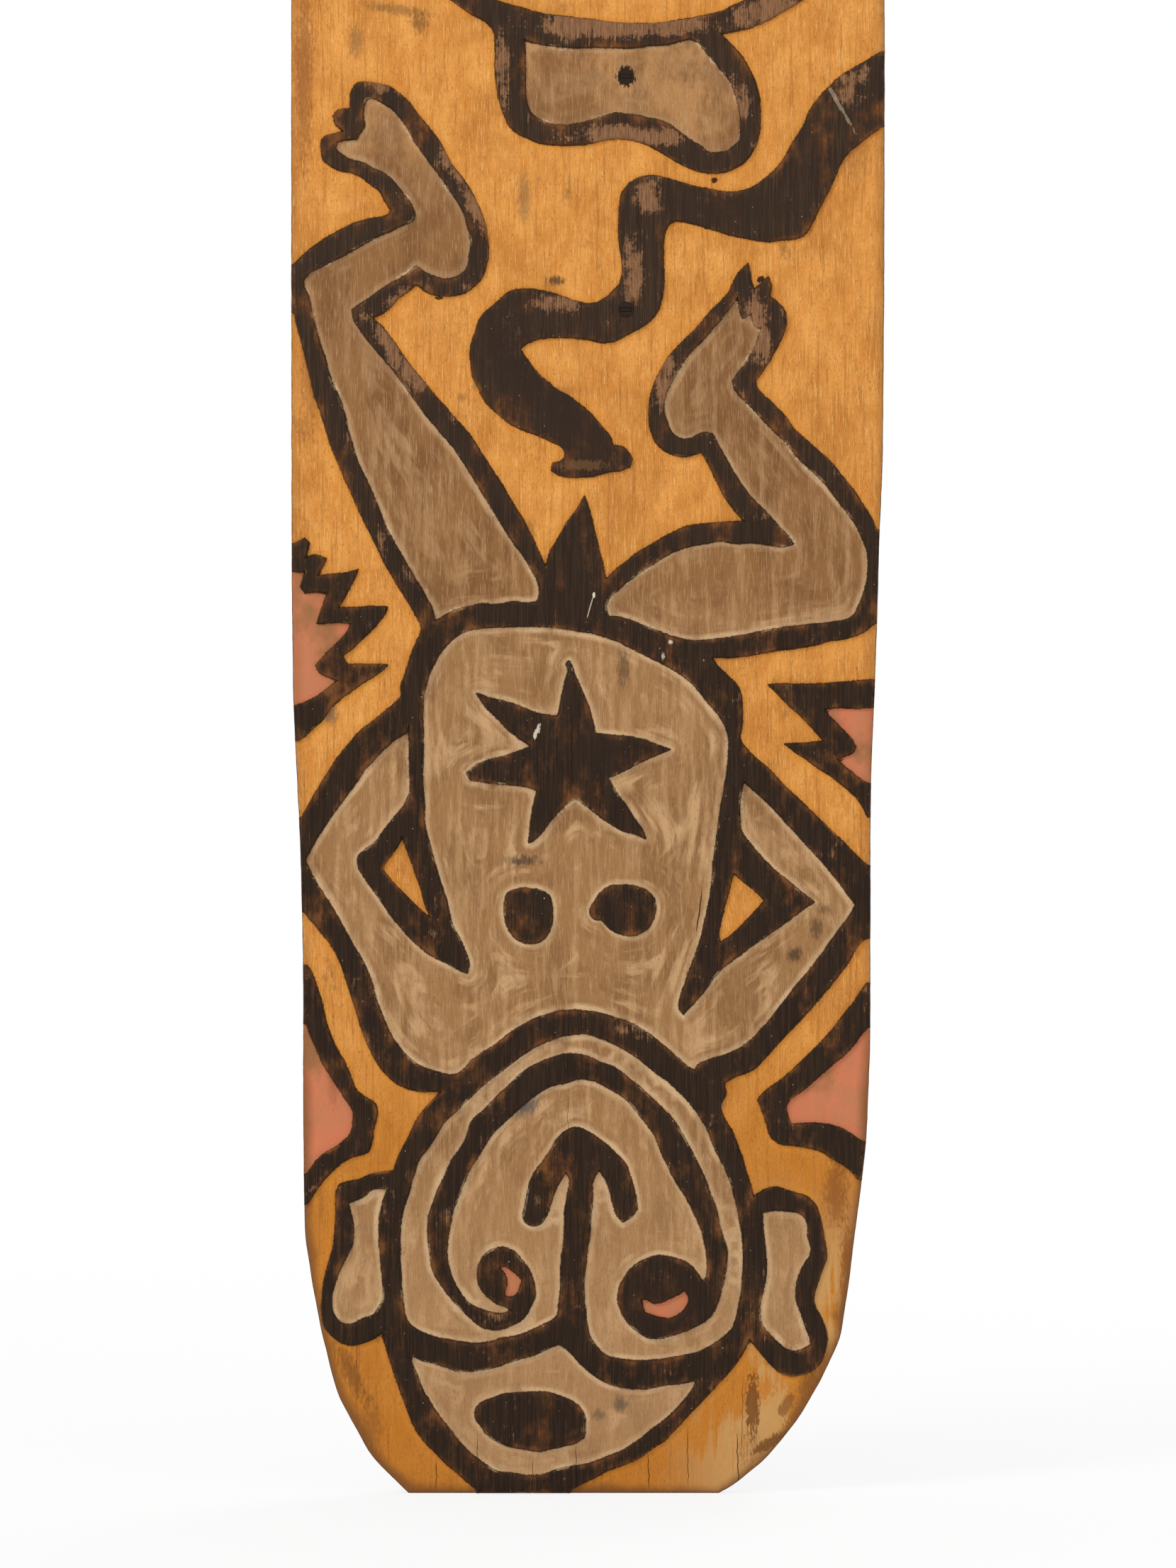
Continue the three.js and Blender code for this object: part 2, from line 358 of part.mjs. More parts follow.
const muzzleShares = [
  [-296, 232], [-298, 222], [-290, 204], [-280, 176], [-266, 152], [-250, 128], [-234, 108],
  [-215, 84], [-195, 64], [-175, 50], [-155, 38], [-135, 34], [-95, 29], [-75, 31], [-59, 38],
  [-35, 44], [0, 50], [29, 60], [53, 70], [89, 92], [108, 108], [128, 122], [148, 140], [164, 158],
  [178, 178], [183, 190], [172, 188], [136, 184], [96, 176], [73, 177], [49, 181], [29, 188],
  [9, 200], [-15, 222], [-35, 242], [-49, 251], [-63, 246], [-83, 236], [-107, 228], [-135, 220],
  [-175, 208], [-218, 206], [-238, 212], [-258, 219], [-278, 223],
];
const mouthShares = [
  [-190, 142], [-179, 154], [-163, 160], [-143, 167], [-115, 169], [-63, 169], [-43, 162],
  [-23, 152], [-11, 142], [-5, 128], [-5, 112], [-7, 96], [-19, 86], [-39, 80], [-63, 75], [-83, 72],
  [-107, 75], [-131, 79], [-155, 88], [-171, 100], [-183, 116], [-191, 130],
];
const leftEarShares = [
  [-338, 514], [-347, 491], [-352, 461], [-352, 423], [-349, 391], [-347, 327], [-354, 313],
  [-364, 301], [-382, 293], [-398, 285], [-414, 286], [-428, 301], [-432, 313], [-433, 331],
  [-424, 363], [-410, 395], [-398, 419], [-396, 447], [-400, 471], [-405, 489], [-382, 499],
  [-362, 513],
];
const rightEarShares = [
  [294, 475], [304, 477], [320, 478], [340, 476], [356, 473], [366, 465], [371, 453], [372, 431],
  [376, 419], [376, 403], [368, 389], [360, 375], [354, 359], [352, 343], [354, 323], [360, 303],
  [368, 279], [376, 259], [376, 251], [368, 246], [352, 240], [336, 242], [324, 251], [308, 267],
  [296, 281], [291, 299], [291, 319], [296, 343], [300, 367], [300, 407], [297, 435], [294, 459],
];

// The crest's head is the lower head turned left to right, a little smaller, and moved up
const crestHeadScaleShare = 900;
const crestHeadMoveShares = [-10, 2571];

const WOOD = 0x4a2f1c;
const HARDWOOD = 0x5b3a22;
const CANE = 0xa87b45;
const SPLIT_CANE = 0x8d6233;
const CORD = 0x6f5233;

function finish(color, roughness) {
  return new THREE.MeshStandardMaterial({ color, roughness, metalness: 0 });
}

// Solids for cutting and joining

function toSolid(geometry) {
  const plain = geometry.clone();
  plain.deleteAttribute('normal');
  plain.deleteAttribute('uv');
  const merged = BufferGeometryUtils.mergeVertices(plain);
  const vertProperties = new Float32Array(merged.attributes.position.array);
  const triVerts = new Uint32Array(merged.index.array);
  return new wasm.Manifold(new wasm.Mesh({ numProp: 3, vertProperties, triVerts }));
}

function toGeometry(solid) {
  const mesh = solid.getMesh();
  const geometry = new THREE.BufferGeometry();
  geometry.setAttribute('position', new THREE.Float32BufferAttribute(mesh.vertProperties, mesh.numProp));
  geometry.setIndex(new THREE.Uint32BufferAttribute(mesh.triVerts, 1));
  geometry.computeVertexNormals();
  return geometry;
}

function place([across, up]) {
  return new THREE.Vector2(across * boardWidth / wholeShare, up * figurePitch / wholeShare);
}

function placeInCrest([across, up]) {
  const scale = crestHeadScaleShare / wholeShare;
  const [moveAcross, moveUp] = crestHeadMoveShares;
  return place([moveAcross - across * scale, moveUp + up * scale]);
}

function crownPoint([across, down]) {
  const drop = down * figurePitch / wholeShare;
  return new THREE.Vector2(across * boardWidth / wholeShare, boardLength - drop);
}

// A slab of the given front outline, from one depth of the plank to another: -Y is the front
function slab(points, backY, frontY) {
  const depth = backY - frontY;
  const geometry = new THREE.ExtrudeGeometry(new THREE.Shape(points), { depth, bevelEnabled: false });
  return toSolid(geometry.rotateX(Math.PI / 2).translate(0, backY, 0));
}

const frontFace = -boardThickness / 2;
const backFace = boardThickness / 2;
const fieldFloor = frontFace + carvingDepth;

function plank() {
  const outline = [
    ...rightEdgeShares.map(place),
    ...crownShares.map(crownPoint),
    ...leftEdgeShares.map(place).reverse(),
  ];
  const geometry = new THREE.ExtrudeGeometry(new THREE.Shape(outline), {
    depth: boardThickness - edgeRound * 2,
    bevelEnabled: true,
    bevelThickness: edgeRound,
    bevelSize: edgeRound,
    bevelOffset: -edgeRound,
    bevelSegments: 1,
  });
  return toSolid(geometry.rotateX(Math.PI / 2).translate(0, backFace - edgeRound, 0));
}

// The ground is cut away first; what is named as standing is then left in it, and is cut in its turn
const carving = [
  { shares: upperGroundShares },
  { shares: snakeShares, stands: true },
  { shares: crestShares, stands: true },
  { shares: crestFieldShares },
  { shares: chinBlockShares },
  { shares: headShares, stands: true, inCrest: true },
  { shares: maskShares, inCrest: true },
  { shares: browShares, stands: true, inCrest: true },
  { shares: leftEyeShares, inCrest: true },
  { shares: rightEyeShares, inCrest: true },
  { shares: muzzleShares, inCrest: true },
  { shares: mouthShares, stands: true, inCrest: true },
  { shares: leftLegShares },
  { shares: rightLegShares },
  { shares: leftGroundShares },
  { shares: leftRedShares },
  { shares: rightGroundShares },
  { shares: rightRedShares },
  { shares: trunkShares },
  { shares: starShares, stands: true },
  { shares: leftMarkShares, stands: true },
  { shares: rightMarkShares, stands: true },
  { shares: leftWindowShares },
  { shares: rightWindowShares },
  { shares: lowerLeftGroundShares },
  { shares: lowerLeftRedShares },
  { shares: lowerRightGroundShares },
  { shares: lowerRightRedShares },
  { shares: maskShares },
  { shares: browShares, stands: true },
  { shares: leftEyeShares },
  { shares: rightEyeShares },
  { shares: muzzleShares },
  { shares: mouthShares, stands: true },
  { shares: leftEarShares },
  { shares: rightEarShares },
];

function carvedFields() {
  let fields = null;
  for (const { shares, stands, inCrest } of carving) {
    const points = shares.map(inCrest ? placeInCrest : place);
    const spare = stands ? cutOverrun : 0;
    const piece = slab(points, fieldFloor + spare, frontFace - cutOverrun - spare);
    if (fields === null) {
      fields = piece;
    } else {
      fields = stands ? fields.subtract(piece) : fields.add(piece);
    }
  }
  return fields;
}

// The grip's own places. The upper tenon comes out in a field, and the lower one in a standing band.
const eyeY = backFace + eyeStandOff;
const eyeRadius = caneRadius + swingGap;
const upperEye = { z: gripHeight + eyeSpacing / 2, front: fieldFloor };
const lowerEye = { z: gripHeight - eyeSpacing / 2, front: frontFace };

// A round bar along Y, from one depth to another
function barAlongY(radius, fromY, toY, z) {
  const length = toY - fromY;
  const geometry = new THREE.CylinderGeometry(radius, radius, length, roundSides);
  return toSolid(geometry.translate(gripAcross, (fromY + toY) / 2, z));
}

// A wedge driven in from the front: thick at the front, and grown on all sides when it cuts its own slot
function wedgeSolid(eye, growth) {
  const halfThick = wedgeThick / 2 + growth;
  const halfThin = wedgeThin / 2 + growth;
  const width = wedgeWidth + growth * 2;
  const outline = new THREE.Shape([
    new THREE.Vector2(-growth, -halfThick),
    new THREE.Vector2(wedgeDepth + growth, -halfThin),
    new THREE.Vector2(wedgeDepth + growth, halfThin),
    new THREE.Vector2(-growth, halfThick),
  ]);
  const geometry = new THREE.ExtrudeGeometry(outline, { depth: width, bevelEnabled: false });
  const turn = new THREE.Matrix4().makeBasis(
    new THREE.Vector3(0, 1, 0),
    new THREE.Vector3(0, 0, 1),
    new THREE.Vector3(1, 0, 0),
  );
  return toSolid(geometry.applyMatrix4(turn).translate(gripAcross - width / 2, eye.front, eye.z));
}

function board() {
  let wood = plank().subtract(carvedFields());
  for (const eye of [upperEye, lowerEye]) {
    const hole = barAlongY(tenonRadius + fitGap, frontFace - cutOverrun, backFace + cutOverrun, eye.z);
    wood = wood.subtract(hole);
  }
  return toGeometry(wood);
}

// An eye lug: a broad foot on the plank's back that narrows to a round eye, and a tenon through the plank
function lug(eye) {
  const outline = new THREE.Shape();
  const halfFoot = lugFootWidth / 2;
  outline.moveTo(-halfFoot, 0);
  outline.lineTo(-halfFoot, lugFootDepth);
  outline.quadraticCurveTo(-eyeOuterRadius, lugFootDepth, -eyeOuterRadius, eyeStandOff);
  outline.absarc(0, eyeStandOff, eyeOuterRadius, Math.PI, 0, true);
  outline.quadraticCurveTo(eyeOuterRadius, lugFootDepth, halfFoot, lugFootDepth);
  outline.lineTo(halfFoot, 0);
  outline.closePath();
  const opening = new THREE.Path();
  opening.absarc(0, eyeStandOff, eyeRadius, 0, Math.PI * 2, false);
  outline.holes.push(opening);
  const options = { depth: lugHeight, bevelEnabled: false, curveSegments: roundSides / 2 };
  const body = new THREE.ExtrudeGeometry(outline, options);
  body.translate(gripAcross, backFace, eye.z - lugHeight / 2);
  const tenon = barAlongY(tenonRadius, eye.front, backFace + lugFootDepth, eye.z);
  return toGeometry(toSolid(body).add(tenon).subtract(wedgeSolid(eye, fitGap)));
}

function wedge(eye) {
  return toGeometry(wedgeSolid(eye, 0));
}

// The bow's line: straight through the upper eye, out in a bend, down the grip, and back in
const eyeFaceZ = (eyeSpacing - lugHeight) / 2;
const gripHalf = eyeFaceZ - bowBend;

function bowPoint(reach, fromMiddle) {
  return new THREE.Vector3(gripAcross, eyeY + reach, gripHeight + fromMiddle);
}

class BowLine extends THREE.CurvePath {
  constructor() {
    super();
    const outer = (eyeSpacing + lugHeight) / 2 + bowStub;
    this.add(new THREE.LineCurve3(bowPoint(0, outer), bowPoint(0, eyeFaceZ)));
    this.add(new THREE.CubicBezierCurve3(
      bowPoint(0, eyeFaceZ),
      bowPoint(0, eyeFaceZ - bowBend / 2),
      bowPoint(bowReach, eyeFaceZ - bowBend / 2),
      bowPoint(bowReach, gripHalf),
    ));
    this.add(new THREE.LineCurve3(bowPoint(bowReach, gripHalf), bowPoint(bowReach, -gripHalf)));
    this.add(new THREE.CubicBezierCurve3(
      bowPoint(bowReach, -gripHalf),
      bowPoint(bowReach, bowBend / 2 - eyeFaceZ),
      bowPoint(0, bowBend / 2 - eyeFaceZ),
      bowPoint(0, -eyeFaceZ),
    ));
    this.add(new THREE.LineCurve3(bowPoint(0, -eyeFaceZ), bowPoint(0, -outer)));
  }
}

function roundSection(radius, sides) {
  const section = new THREE.Shape();
  for (let side = 0; side < sides; side += 1) {
    const angle = side / sides * Math.PI * 2;
    const point = [radius * Math.cos(angle), radius * Math.sin(angle)];
    if (side === 0) {
      section.moveTo(...point);
    } else {
      section.lineTo(...point);
    }
  }
  section.closePath();
  return section;
}

function gripBow() {
  const options = { steps: bowSteps, extrudePath: new BowLine(), bevelEnabled: false };
  return new THREE.ExtrudeGeometry(roundSection(caneRadius, caneSides), options);
}

// A sleeve of winding round a straight stretch of the bow
function winding(reach, fromZ, toZ, thickness) {
  const inner = caneRadius + fitGap;
  const outer = inner + thickness;
  const soft = thickness / 2;
  const profile = [
    new THREE.Vector2(inner, fromZ),
    new THREE.Vector2(outer - soft, fromZ),
    new THREE.Vector2(outer, fromZ + soft),
    new THREE.Vector2(outer, toZ - soft),
    new THREE.Vector2(outer - soft, toZ),
    new THREE.Vector2(inner, toZ),
    new THREE.Vector2(inner, fromZ),
  ];
  const geometry = new THREE.LatheGeometry(profile, roundSides);
  return toGeometry(toSolid(geometry.rotateX(Math.PI / 2).translate(gripAcross, eyeY + reach, 0)));
}

function piece(name, geometry, material) {
  const mesh = new THREE.Mesh(geometry, material);
  mesh.name = name;
  return mesh;
}

const upperStopZ = upperEye.z + lugHeight / 2 + swingGap;
const lowerStopZ = lowerEye.z - lugHeight / 2 - swingGap;

const shield = new THREE.Group();

const fixedWood = new THREE.Group();
fixedWood.add(piece('board', board(), finish(WOOD, 0.75)));
fixedWood.add(piece('upper_lug', lug(upperEye), finish(HARDWOOD, 0.6)));
fixedWood.add(piece('lower_lug', lug(lowerEye), finish(HARDWOOD, 0.6)));
fixedWood.add(piece('upper_wedge', wedge(upperEye), finish(HARDWOOD, 0.65)));
fixedWood.add(piece('lower_wedge', wedge(lowerEye), finish(HARDWOOD, 0.65)));
shield.add(fixedWood);

const grip = new THREE.Group();
const wrapHalf = gripHalf - wrapEndGap;
const wrapEnds = [gripHeight - wrapHalf, gripHeight + wrapHalf];
grip.add(piece('grip_bow', gripBow(), finish(CANE, 0.45)));
grip.add(piece('grip_wrap', winding(bowReach, ...wrapEnds, wrapThickness), finish(SPLIT_CANE, 0.6)));
const upperStop = winding(0, upperStopZ, upperStopZ + whippingHeight, whippingThickness);
grip.add(piece('upper_whipping', upperStop, finish(CORD, 0.8)));
const lowerStop = winding(0, lowerStopZ - whippingHeight, lowerStopZ, whippingThickness);
grip.add(piece('lower_whipping', lowerStop, finish(CORD, 0.8)));
shield.add(grip);

export default shield;
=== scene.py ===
"""Looks of the carved plank shield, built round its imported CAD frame.

The relief is read from the frame's own plank: the outlines of its cut fields are smoothed, given the small
waver of a hand-held chisel, and made into a painted floor and raised bands. The shared frame is in metres:
+Z up the plank, -Y out of the carved front, and the origin on the foot edge.
"""

import json
import logging
import math
from collections.abc import Callable, Iterable
from dataclasses import dataclass, field
from enum import Enum
from functools import partial, reduce

import bpy
import numpy as np
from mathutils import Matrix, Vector, kdtree, noise
from mathutils.geometry import delaunay_2d_cdt

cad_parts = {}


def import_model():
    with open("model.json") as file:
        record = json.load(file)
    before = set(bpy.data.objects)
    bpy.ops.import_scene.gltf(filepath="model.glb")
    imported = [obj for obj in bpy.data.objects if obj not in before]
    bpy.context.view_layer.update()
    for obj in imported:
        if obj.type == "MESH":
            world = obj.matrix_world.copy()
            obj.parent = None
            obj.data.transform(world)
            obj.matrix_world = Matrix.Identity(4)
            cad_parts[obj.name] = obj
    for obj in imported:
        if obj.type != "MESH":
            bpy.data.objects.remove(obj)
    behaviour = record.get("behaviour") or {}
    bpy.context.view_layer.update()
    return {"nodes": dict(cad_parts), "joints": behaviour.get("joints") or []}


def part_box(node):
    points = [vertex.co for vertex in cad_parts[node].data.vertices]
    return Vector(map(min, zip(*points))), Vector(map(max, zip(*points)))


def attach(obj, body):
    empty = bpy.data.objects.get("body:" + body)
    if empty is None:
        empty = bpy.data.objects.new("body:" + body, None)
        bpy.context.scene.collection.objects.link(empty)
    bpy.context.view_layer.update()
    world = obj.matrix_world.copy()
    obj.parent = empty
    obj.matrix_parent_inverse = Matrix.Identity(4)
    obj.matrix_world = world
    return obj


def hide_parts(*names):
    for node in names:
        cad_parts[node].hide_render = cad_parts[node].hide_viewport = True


LOG = logging.getLogger("shield")
MM = 0.001

# Listed places and sizes count in this many millimetres, across from the middle and up from the foot
SEEN_UNIT = 0.45

Pair = tuple[float, float]
Triple = tuple[float, float, float]
Color = tuple[int, int, int]
Inputs = dict[str | int, object]


def seen(across: float, up: float) -> Pair:
    """Turns a listed place or size on the front into millimetres."""
    return across * SEEN_UNIT, up * SEEN_UNIT


def linear(color: Color) -> tuple[float, float, float, float]:
    """Turns a display colour of 0 to 255 into the linear colour that a shader takes, with an alpha of 1."""
    shares = [channel / 255 for channel in color]
    return (*(s / 12.92 if s <= 0.04045 else ((s + 0.055) / 1.055) ** 2.4 for s in shares), 1.0)


# Paint and wood


class Paint(Enum):
    """The earth paints in the cut fields."""

    OCHRE = "ochre"
    GREY = "grey"
    RED = "red"


# One place inside each field whose paint isn't ochre
PAINT_SEEDS = {
    Paint.GREY: (
        (60, 2380), (-330, 2270), (300, 1520), (150, 1000), (-60, 40),
        (120, 700), (-380, 400), (330, 400), (-70, 2750), (0, 3250),
    ),
    Paint.RED: (
        (-470, 1440), (460, 1300), (-440, 640), (420, 660),
        (-130, 350), (130, 313), (107, 2886), (-127, 2853),
    ),
}


@dataclass(frozen=True)
class Spot:
    """A soft spot on the painted front.

    Attributes:
        place: its middle, as listed.
        half: its half width and half height.
        strength: how much of it shows at the middle.
        tilt: turn in degrees, anticlockwise as seen.
        rough: how far its edge frays, as a share of its size.
        blur: how softly it fades out.
    """

    place: Pair
    half: Pair
    strength: float = 0.8
    tilt: float = 0.0
    rough: float = 0.5
    blur: float = 0.7


@dataclass(frozen=True)
class Crack:
    """A drying crack that runs with the grain.

    Attributes:
        low: its lower end, as listed.
        high: its upper end.
        width: full width at the middle, in millimetres.
    """

    low: Pair
    high: Pair
    width: float


def painted_spots(*rows: tuple) -> tuple[tuple[Color, Spot], ...]:
    """Makes coloured spots of rows that hold a colour and then a spot's own values."""
    return tuple((color, Spot(*values)) for color, *values in rows)


# Scuffs, stains and pits in the fields
FIELD_MARKS = painted_spots(
    ((38, 25, 18), (64, 2392), (16, 18), 0.95, 0, 0.75, 0.2),
    ((92, 88, 86), (-103, 652), (26, 13), 0.75, 30, 0.8),
    ((62, 50, 46), (-110, 1068), (28, 9), 0.75, 0, 0.9), ((92, 84, 66), (55, 150), (14, 13), 0.7, 0, 0.8),
    ((92, 84, 66), (19, 132), (12, 10), 0.6, 0, 0.8), ((92, 68, 46), (60, 1394), (11, 34), 0.7, 0, 0.8),
    ((66, 48, 34), (349, 909), (15, 13), 0.75, 0, 0.8), ((84, 62, 46), (386, 954), (11, 20), 0.7, 0, 0.8),
    ((84, 64, 48), (400, 985), (13, 9), 0.5, 0, 0.8),
    ((40, 26, 18), (291, 2049), (7, 5), 0.95, 40, 0.5, 0.2),
    ((46, 28, 18), (213, 2217), (6, 5), 0.95, 0, 0.5, 0.2),
    ((70, 52, 42), (-55, 2047), (17, 8), 0.8, 0, 0.9),
    ((48, 32, 22), (-252, 2018), (7, 3), 0.9, 0, 0.6, 0.2),
    ((120, 98, 66), (-108, 2190), (12, 42), 0.5, 0, 0.8),
    ((84, 58, 36), (-285, 2480), (16, 16), 0.6, 0, 0.9),
    ((92, 66, 42), (-320, 2505), (60, 10), 0.5, -8, 0.9),
    ((118, 92, 64), (-392, 2450), (14, 30), 0.5, 0, 0.9),
    ((150, 100, 52), (-100, 1625), (14, 22), 0.55, 0, 0.9),
    ((150, 134, 104), (222, 662), (8, 20), 0.8, 0, 0.6),
    ((128, 100, 74), (-436, 1316), (14, 18), 0.8, 0, 0.7),
    ((150, 100, 56), (-40, 1862), (30, 8), 0.4, 0, 0.9), ((126, 82, 44), (420, 120), (34, 60), 0.5, 0, 0.9),
    ((134, 86, 46), (300, 70), (40, 50), 0.5, 0, 0.9), ((120, 76, 40), (-366, 110), (20, 60), 0.45, 0, 0.9),
    ((128, 84, 46), (430, 560), (18, 26), 0.5, 0, 0.9), ((120, 84, 50), (-212, 1850), (8, 8), 0.5, 0, 0.8),
    ((204, 158, 98), (312, 128), (26, 56), 0.8, -20, 0.8, 0.4),
    ((116, 70, 32), (278, 150), (12, 56), 0.85, 0, 0.9, 0.3),
    ((116, 70, 32), (308, 86), (34, 9), 0.85, 32, 0.9, 0.3),
    ((124, 76, 36), (335, 150), (10, 24), 0.7, -30, 0.9, 0.3),
    ((140, 84, 36), (418, 505), (22, 60), 0.75, 0, 0.8), ((140, 86, 40), (438, 410), (12, 60), 0.7, 0, 0.8),
    ((112, 70, 34), (372, 190), (12, 26), 0.6, -30, 0.9),
    ((108, 68, 34), (-398, 200), (14, 60), 0.6, 25, 0.9),
    ((150, 92, 60), (-430, 700), (10, 50), 0.5, 0, 0.8),
    ((150, 96, 48), (450, 2300), (30, 90), 0.45, 0, 0.9),
    ((134, 82, 40), (440, 330), (16, 90), 0.6, 0, 0.9), ((138, 84, 38), (330, 232), (30, 22), 0.55, 0, 0.9),
    ((134, 78, 44), (-480, 2400), (16, 160), 0.6, 0, 0.9),
    ((140, 84, 44), (-470, 1880), (16, 120), 0.5, 0, 0.9),
)

# Splashes and flakes on the bands
BAND_MARKS = painted_spots(
    ((216, 204, 182), (412, 1018), (5, 8), 0.9, 0, 0.9, 0.25),
    ((216, 200, 176), (-86, 1286), (3.5, 13), 0.9, -24, 0.8, 0.25),
    ((226, 212, 190), (10, 1516), (2.4, 5), 0.95, 0, 0.5, 0.25),
    ((206, 190, 164), (3, 1494), (0.9, 22), 0.8, -16, 0.9, 0.25),
    ((216, 202, 178), (139, 1437), (4, 3), 0.8, 0, 0.9, 0.25),
    ((206, 190, 164), (126, 1413), (3, 6), 0.7, 0, 0.9, 0.25),
    ((70, 46, 30), (-390, 541), (14, 7), 0.9, 0, 0.8, 0.25),
    ((112, 78, 48), (-6, 1736), (40, 9), 0.6, 0, 0.9, 0.25),
    ((196, 176, 146), (420, 2350), (3, 60), 0.35, 30, 0.9, 0.25),
)

# Where the black is unbroken
BLACK = painted_spots(
    ((50, 36, 27), (-130, 1930), (46, 110), 0.85, 12), ((50, 36, 27), (-20, 1815), (90, 44), 0.85, -38),
    ((48, 34, 25), (20, 1650), (46, 110), 0.7), ((46, 33, 24), (20, 1270), (80, 70), 0.55),
    ((46, 32, 23), (130, 320), (80, 60), 0.7), ((52, 38, 28), (250, 2170), (110, 30), 0.7, 0),
)

# Where the bands are rubbed down to pale wood
WORN = tuple(Spot(*row) for row in (
    ((60, 2478), (200, 24), 1.0), ((300, 2500), (90, 34), 0.8, 20), ((-142, 2400), (18, 60), 0.9),
    ((60, 2290), (120, 20), 1.0), ((262, 2360), (24, 60), 0.8), ((-205, 2215), (24, 110), 1.0, 25),
    ((-330, 2375), (60, 20), 0.7), ((-300, 2020), (60, 20), 0.8, 30), ((-325, 1930), (26, 80), 0.8, 35),
    ((105, 2195), (26, 50), 0.9), ((75, 2050), (24, 70), 0.75), ((-60, 2008), (60, 22), 0.8),
    ((130, 1890), (20, 80), 0.65), ((285, 1960), (24, 70), 0.8), ((200, 1650), (100, 16), 0.8),
    ((430, 2380), (44, 50), 0.55), ((-440, 2000), (60, 20), 0.5, 25), ((350, 1840), (20, 70), 0.5, 35),
))

CRACKS = tuple(Crack(*row) for row in (
    ((-28, 1196), (-26, 1330), 0.55), ((-36, 700), (-34, 742), 0.5), ((-33, 560), (-34, 690), 0.35),
    ((-36, 1452), (-35, 1486), 0.4), ((182, 937), (194, 1027), 1.1), ((-257, 2), (-256, 60), 0.6),
    ((-185, 2), (-187, 110), 0.45), ((-94, 2), (-93, 62), 0.5), ((-20, 2), (-20, 92), 0.5),
    ((103, 2), (101, 74), 0.7), ((169, 2), (168, 120), 0.55), ((254, 2), (252, 110), 0.8),
    ((259, 40), (262, 210), 0.4), ((-390, 180), (-392, 330), 0.35), ((84, 2120), (86, 2224), 0.4),
    ((-2, 1180), (0, 1240), 0.3), ((-160, 1180), (-158, 1240), 0.3),
))


@dataclass(frozen=True)
class Value:
    """A number, vector or colour inside a graph, which sums can be written with.

    Attributes:
        graph: the graph that it belongs to.
        socket: the output that it comes from.
    """

    graph: "Graph"
    socket: bpy.types.NodeSocket

    def __add__(self, other: "Value | float") -> "Value":
        """Adds a number."""
        return self.graph.math("ADD", self, other)

    def __sub__(self, other: "Value | float") -> "Value":
        """Takes a number away."""
        return self.graph.math("SUBTRACT", self, other)

    def __rsub__(self, other: float) -> "Value":
        """Takes itself away from a plain number."""
        return self.graph.math("SUBTRACT", other, self)

    def __mul__(self, other: "Value | float") -> "Value":
        """Multiplies by a number."""
        return self.graph.math("MULTIPLY", self, other)

    def __truediv__(self, other: "Value | float") -> "Value":
        """Divides by a number."""
        return self.graph.math("DIVIDE", self, other)

    def step(self, low: float, high: float) -> "Value":
        """Steps smoothly from 0 to 1, or from 1 to 0 where the limits fall.

        Args:
            low: where the step starts.
            high: where it ends.

        Returns:
            The step.
        """
        limits = {"From Min": min(low, high), "From Max": max(low, high)}
        ends = {"To Min": float(low > high), "To Max": float(low < high)}
        inputs = {"Value": self, **limits, **ends}
        return self.graph.value("MapRange", inputs, "Result", interpolation_type="SMOOTHSTEP")


class Graph:
    """The nodes of one material, or of the world.

    Attributes:
        nodes: its nodes.
        links: its links.
    """

    def __init__(self, owner: bpy.types.Material | bpy.types.World) -> None:
        """Takes over the nodes of a new material or world."""
        owner.use_nodes = True
        self.nodes, self.links = owner.node_tree.nodes, owner.node_tree.links

    def join(self, node: bpy.types.Node, inputs: Inputs) -> None:
        """Fills in inputs of a node.

        Args:
            node: the node.
            inputs: a value or a constant for each, by name or number.
        """
        for key, value in inputs.items():
            if isinstance(value, Value):
                self.links.new(value.socket, node.inputs[key])
            else:
                node.inputs[key].default_value = value

    def value(self, kind: str, inputs: Inputs, output: str | int = 0, **settings: str) -> Value:
        """Adds a node.

        Args:
            kind: its type, without the part that all types share.
            inputs: a value or a constant for each input, by name or number.
            output: which output is wanted.
            settings: its other settings.

        Returns:
            That output.
        """
        node = self.nodes.new(f"ShaderNode{kind}")
        for name, setting in settings.items():
            setattr(node, name, setting)
        self.join(node, inputs)
        return Value(self, node.outputs[output])

    def math(self, operation: str, *numbers: Value | float) -> Value:
        """Does one sum on numbers."""
        return self.value("Math", dict(enumerate(numbers)), operation=operation)

    def vector(self, operation: str, *vectors: Value | Triple) -> Value:
        """Does one sum on vectors."""
        output = "Value" if operation in ("DOT_PRODUCT", "LENGTH") else "Vector"
        return self.value("VectorMath", dict(enumerate(vectors)), output, operation=operation)

    def largest(self, values: Iterable[Value]) -> Value:
        """Takes the largest of some numbers."""
        return reduce(partial(self.math, "MAXIMUM"), values)

    def attribute(self, name: str) -> Value:
        """Reads a number kept on the mesh."""
        return self.value("Attribute", {}, "Fac", attribute_name=name)

    def looked_at(self) -> Value:
        """Tells rays of sight, also those off gloss or through glass, from rays of light.

        Returns:
            1 for a ray of sight, else 0.
        """
        rays = self.nodes.new("ShaderNodeLightPath").outputs
        kinds = ("Is Camera Ray", "Is Glossy Ray", "Is Transmission Ray")
        return self.largest(Value(self, rays[kind]) for kind in kinds)

    def mix(self, share: Value, first: Value | Color, second: Value | Color) -> Value:
        """Mixes two colours, with a share of the second."""
        first, second = (shade if isinstance(shade, Value) else linear(shade) for shade in (first, second))
        return self.value("Mix", {"Factor": share, 6: first, 7: second}, 2, data_type="RGBA")

    def coats(self, color: Value | Color, *layers: tuple[Value, Value | Color]) -> Value:
        """Lays coats over a colour, each with the share of it that shows."""
        return reduce(lambda below, layer: self.mix(layer[0], below, layer[1]), layers, color)


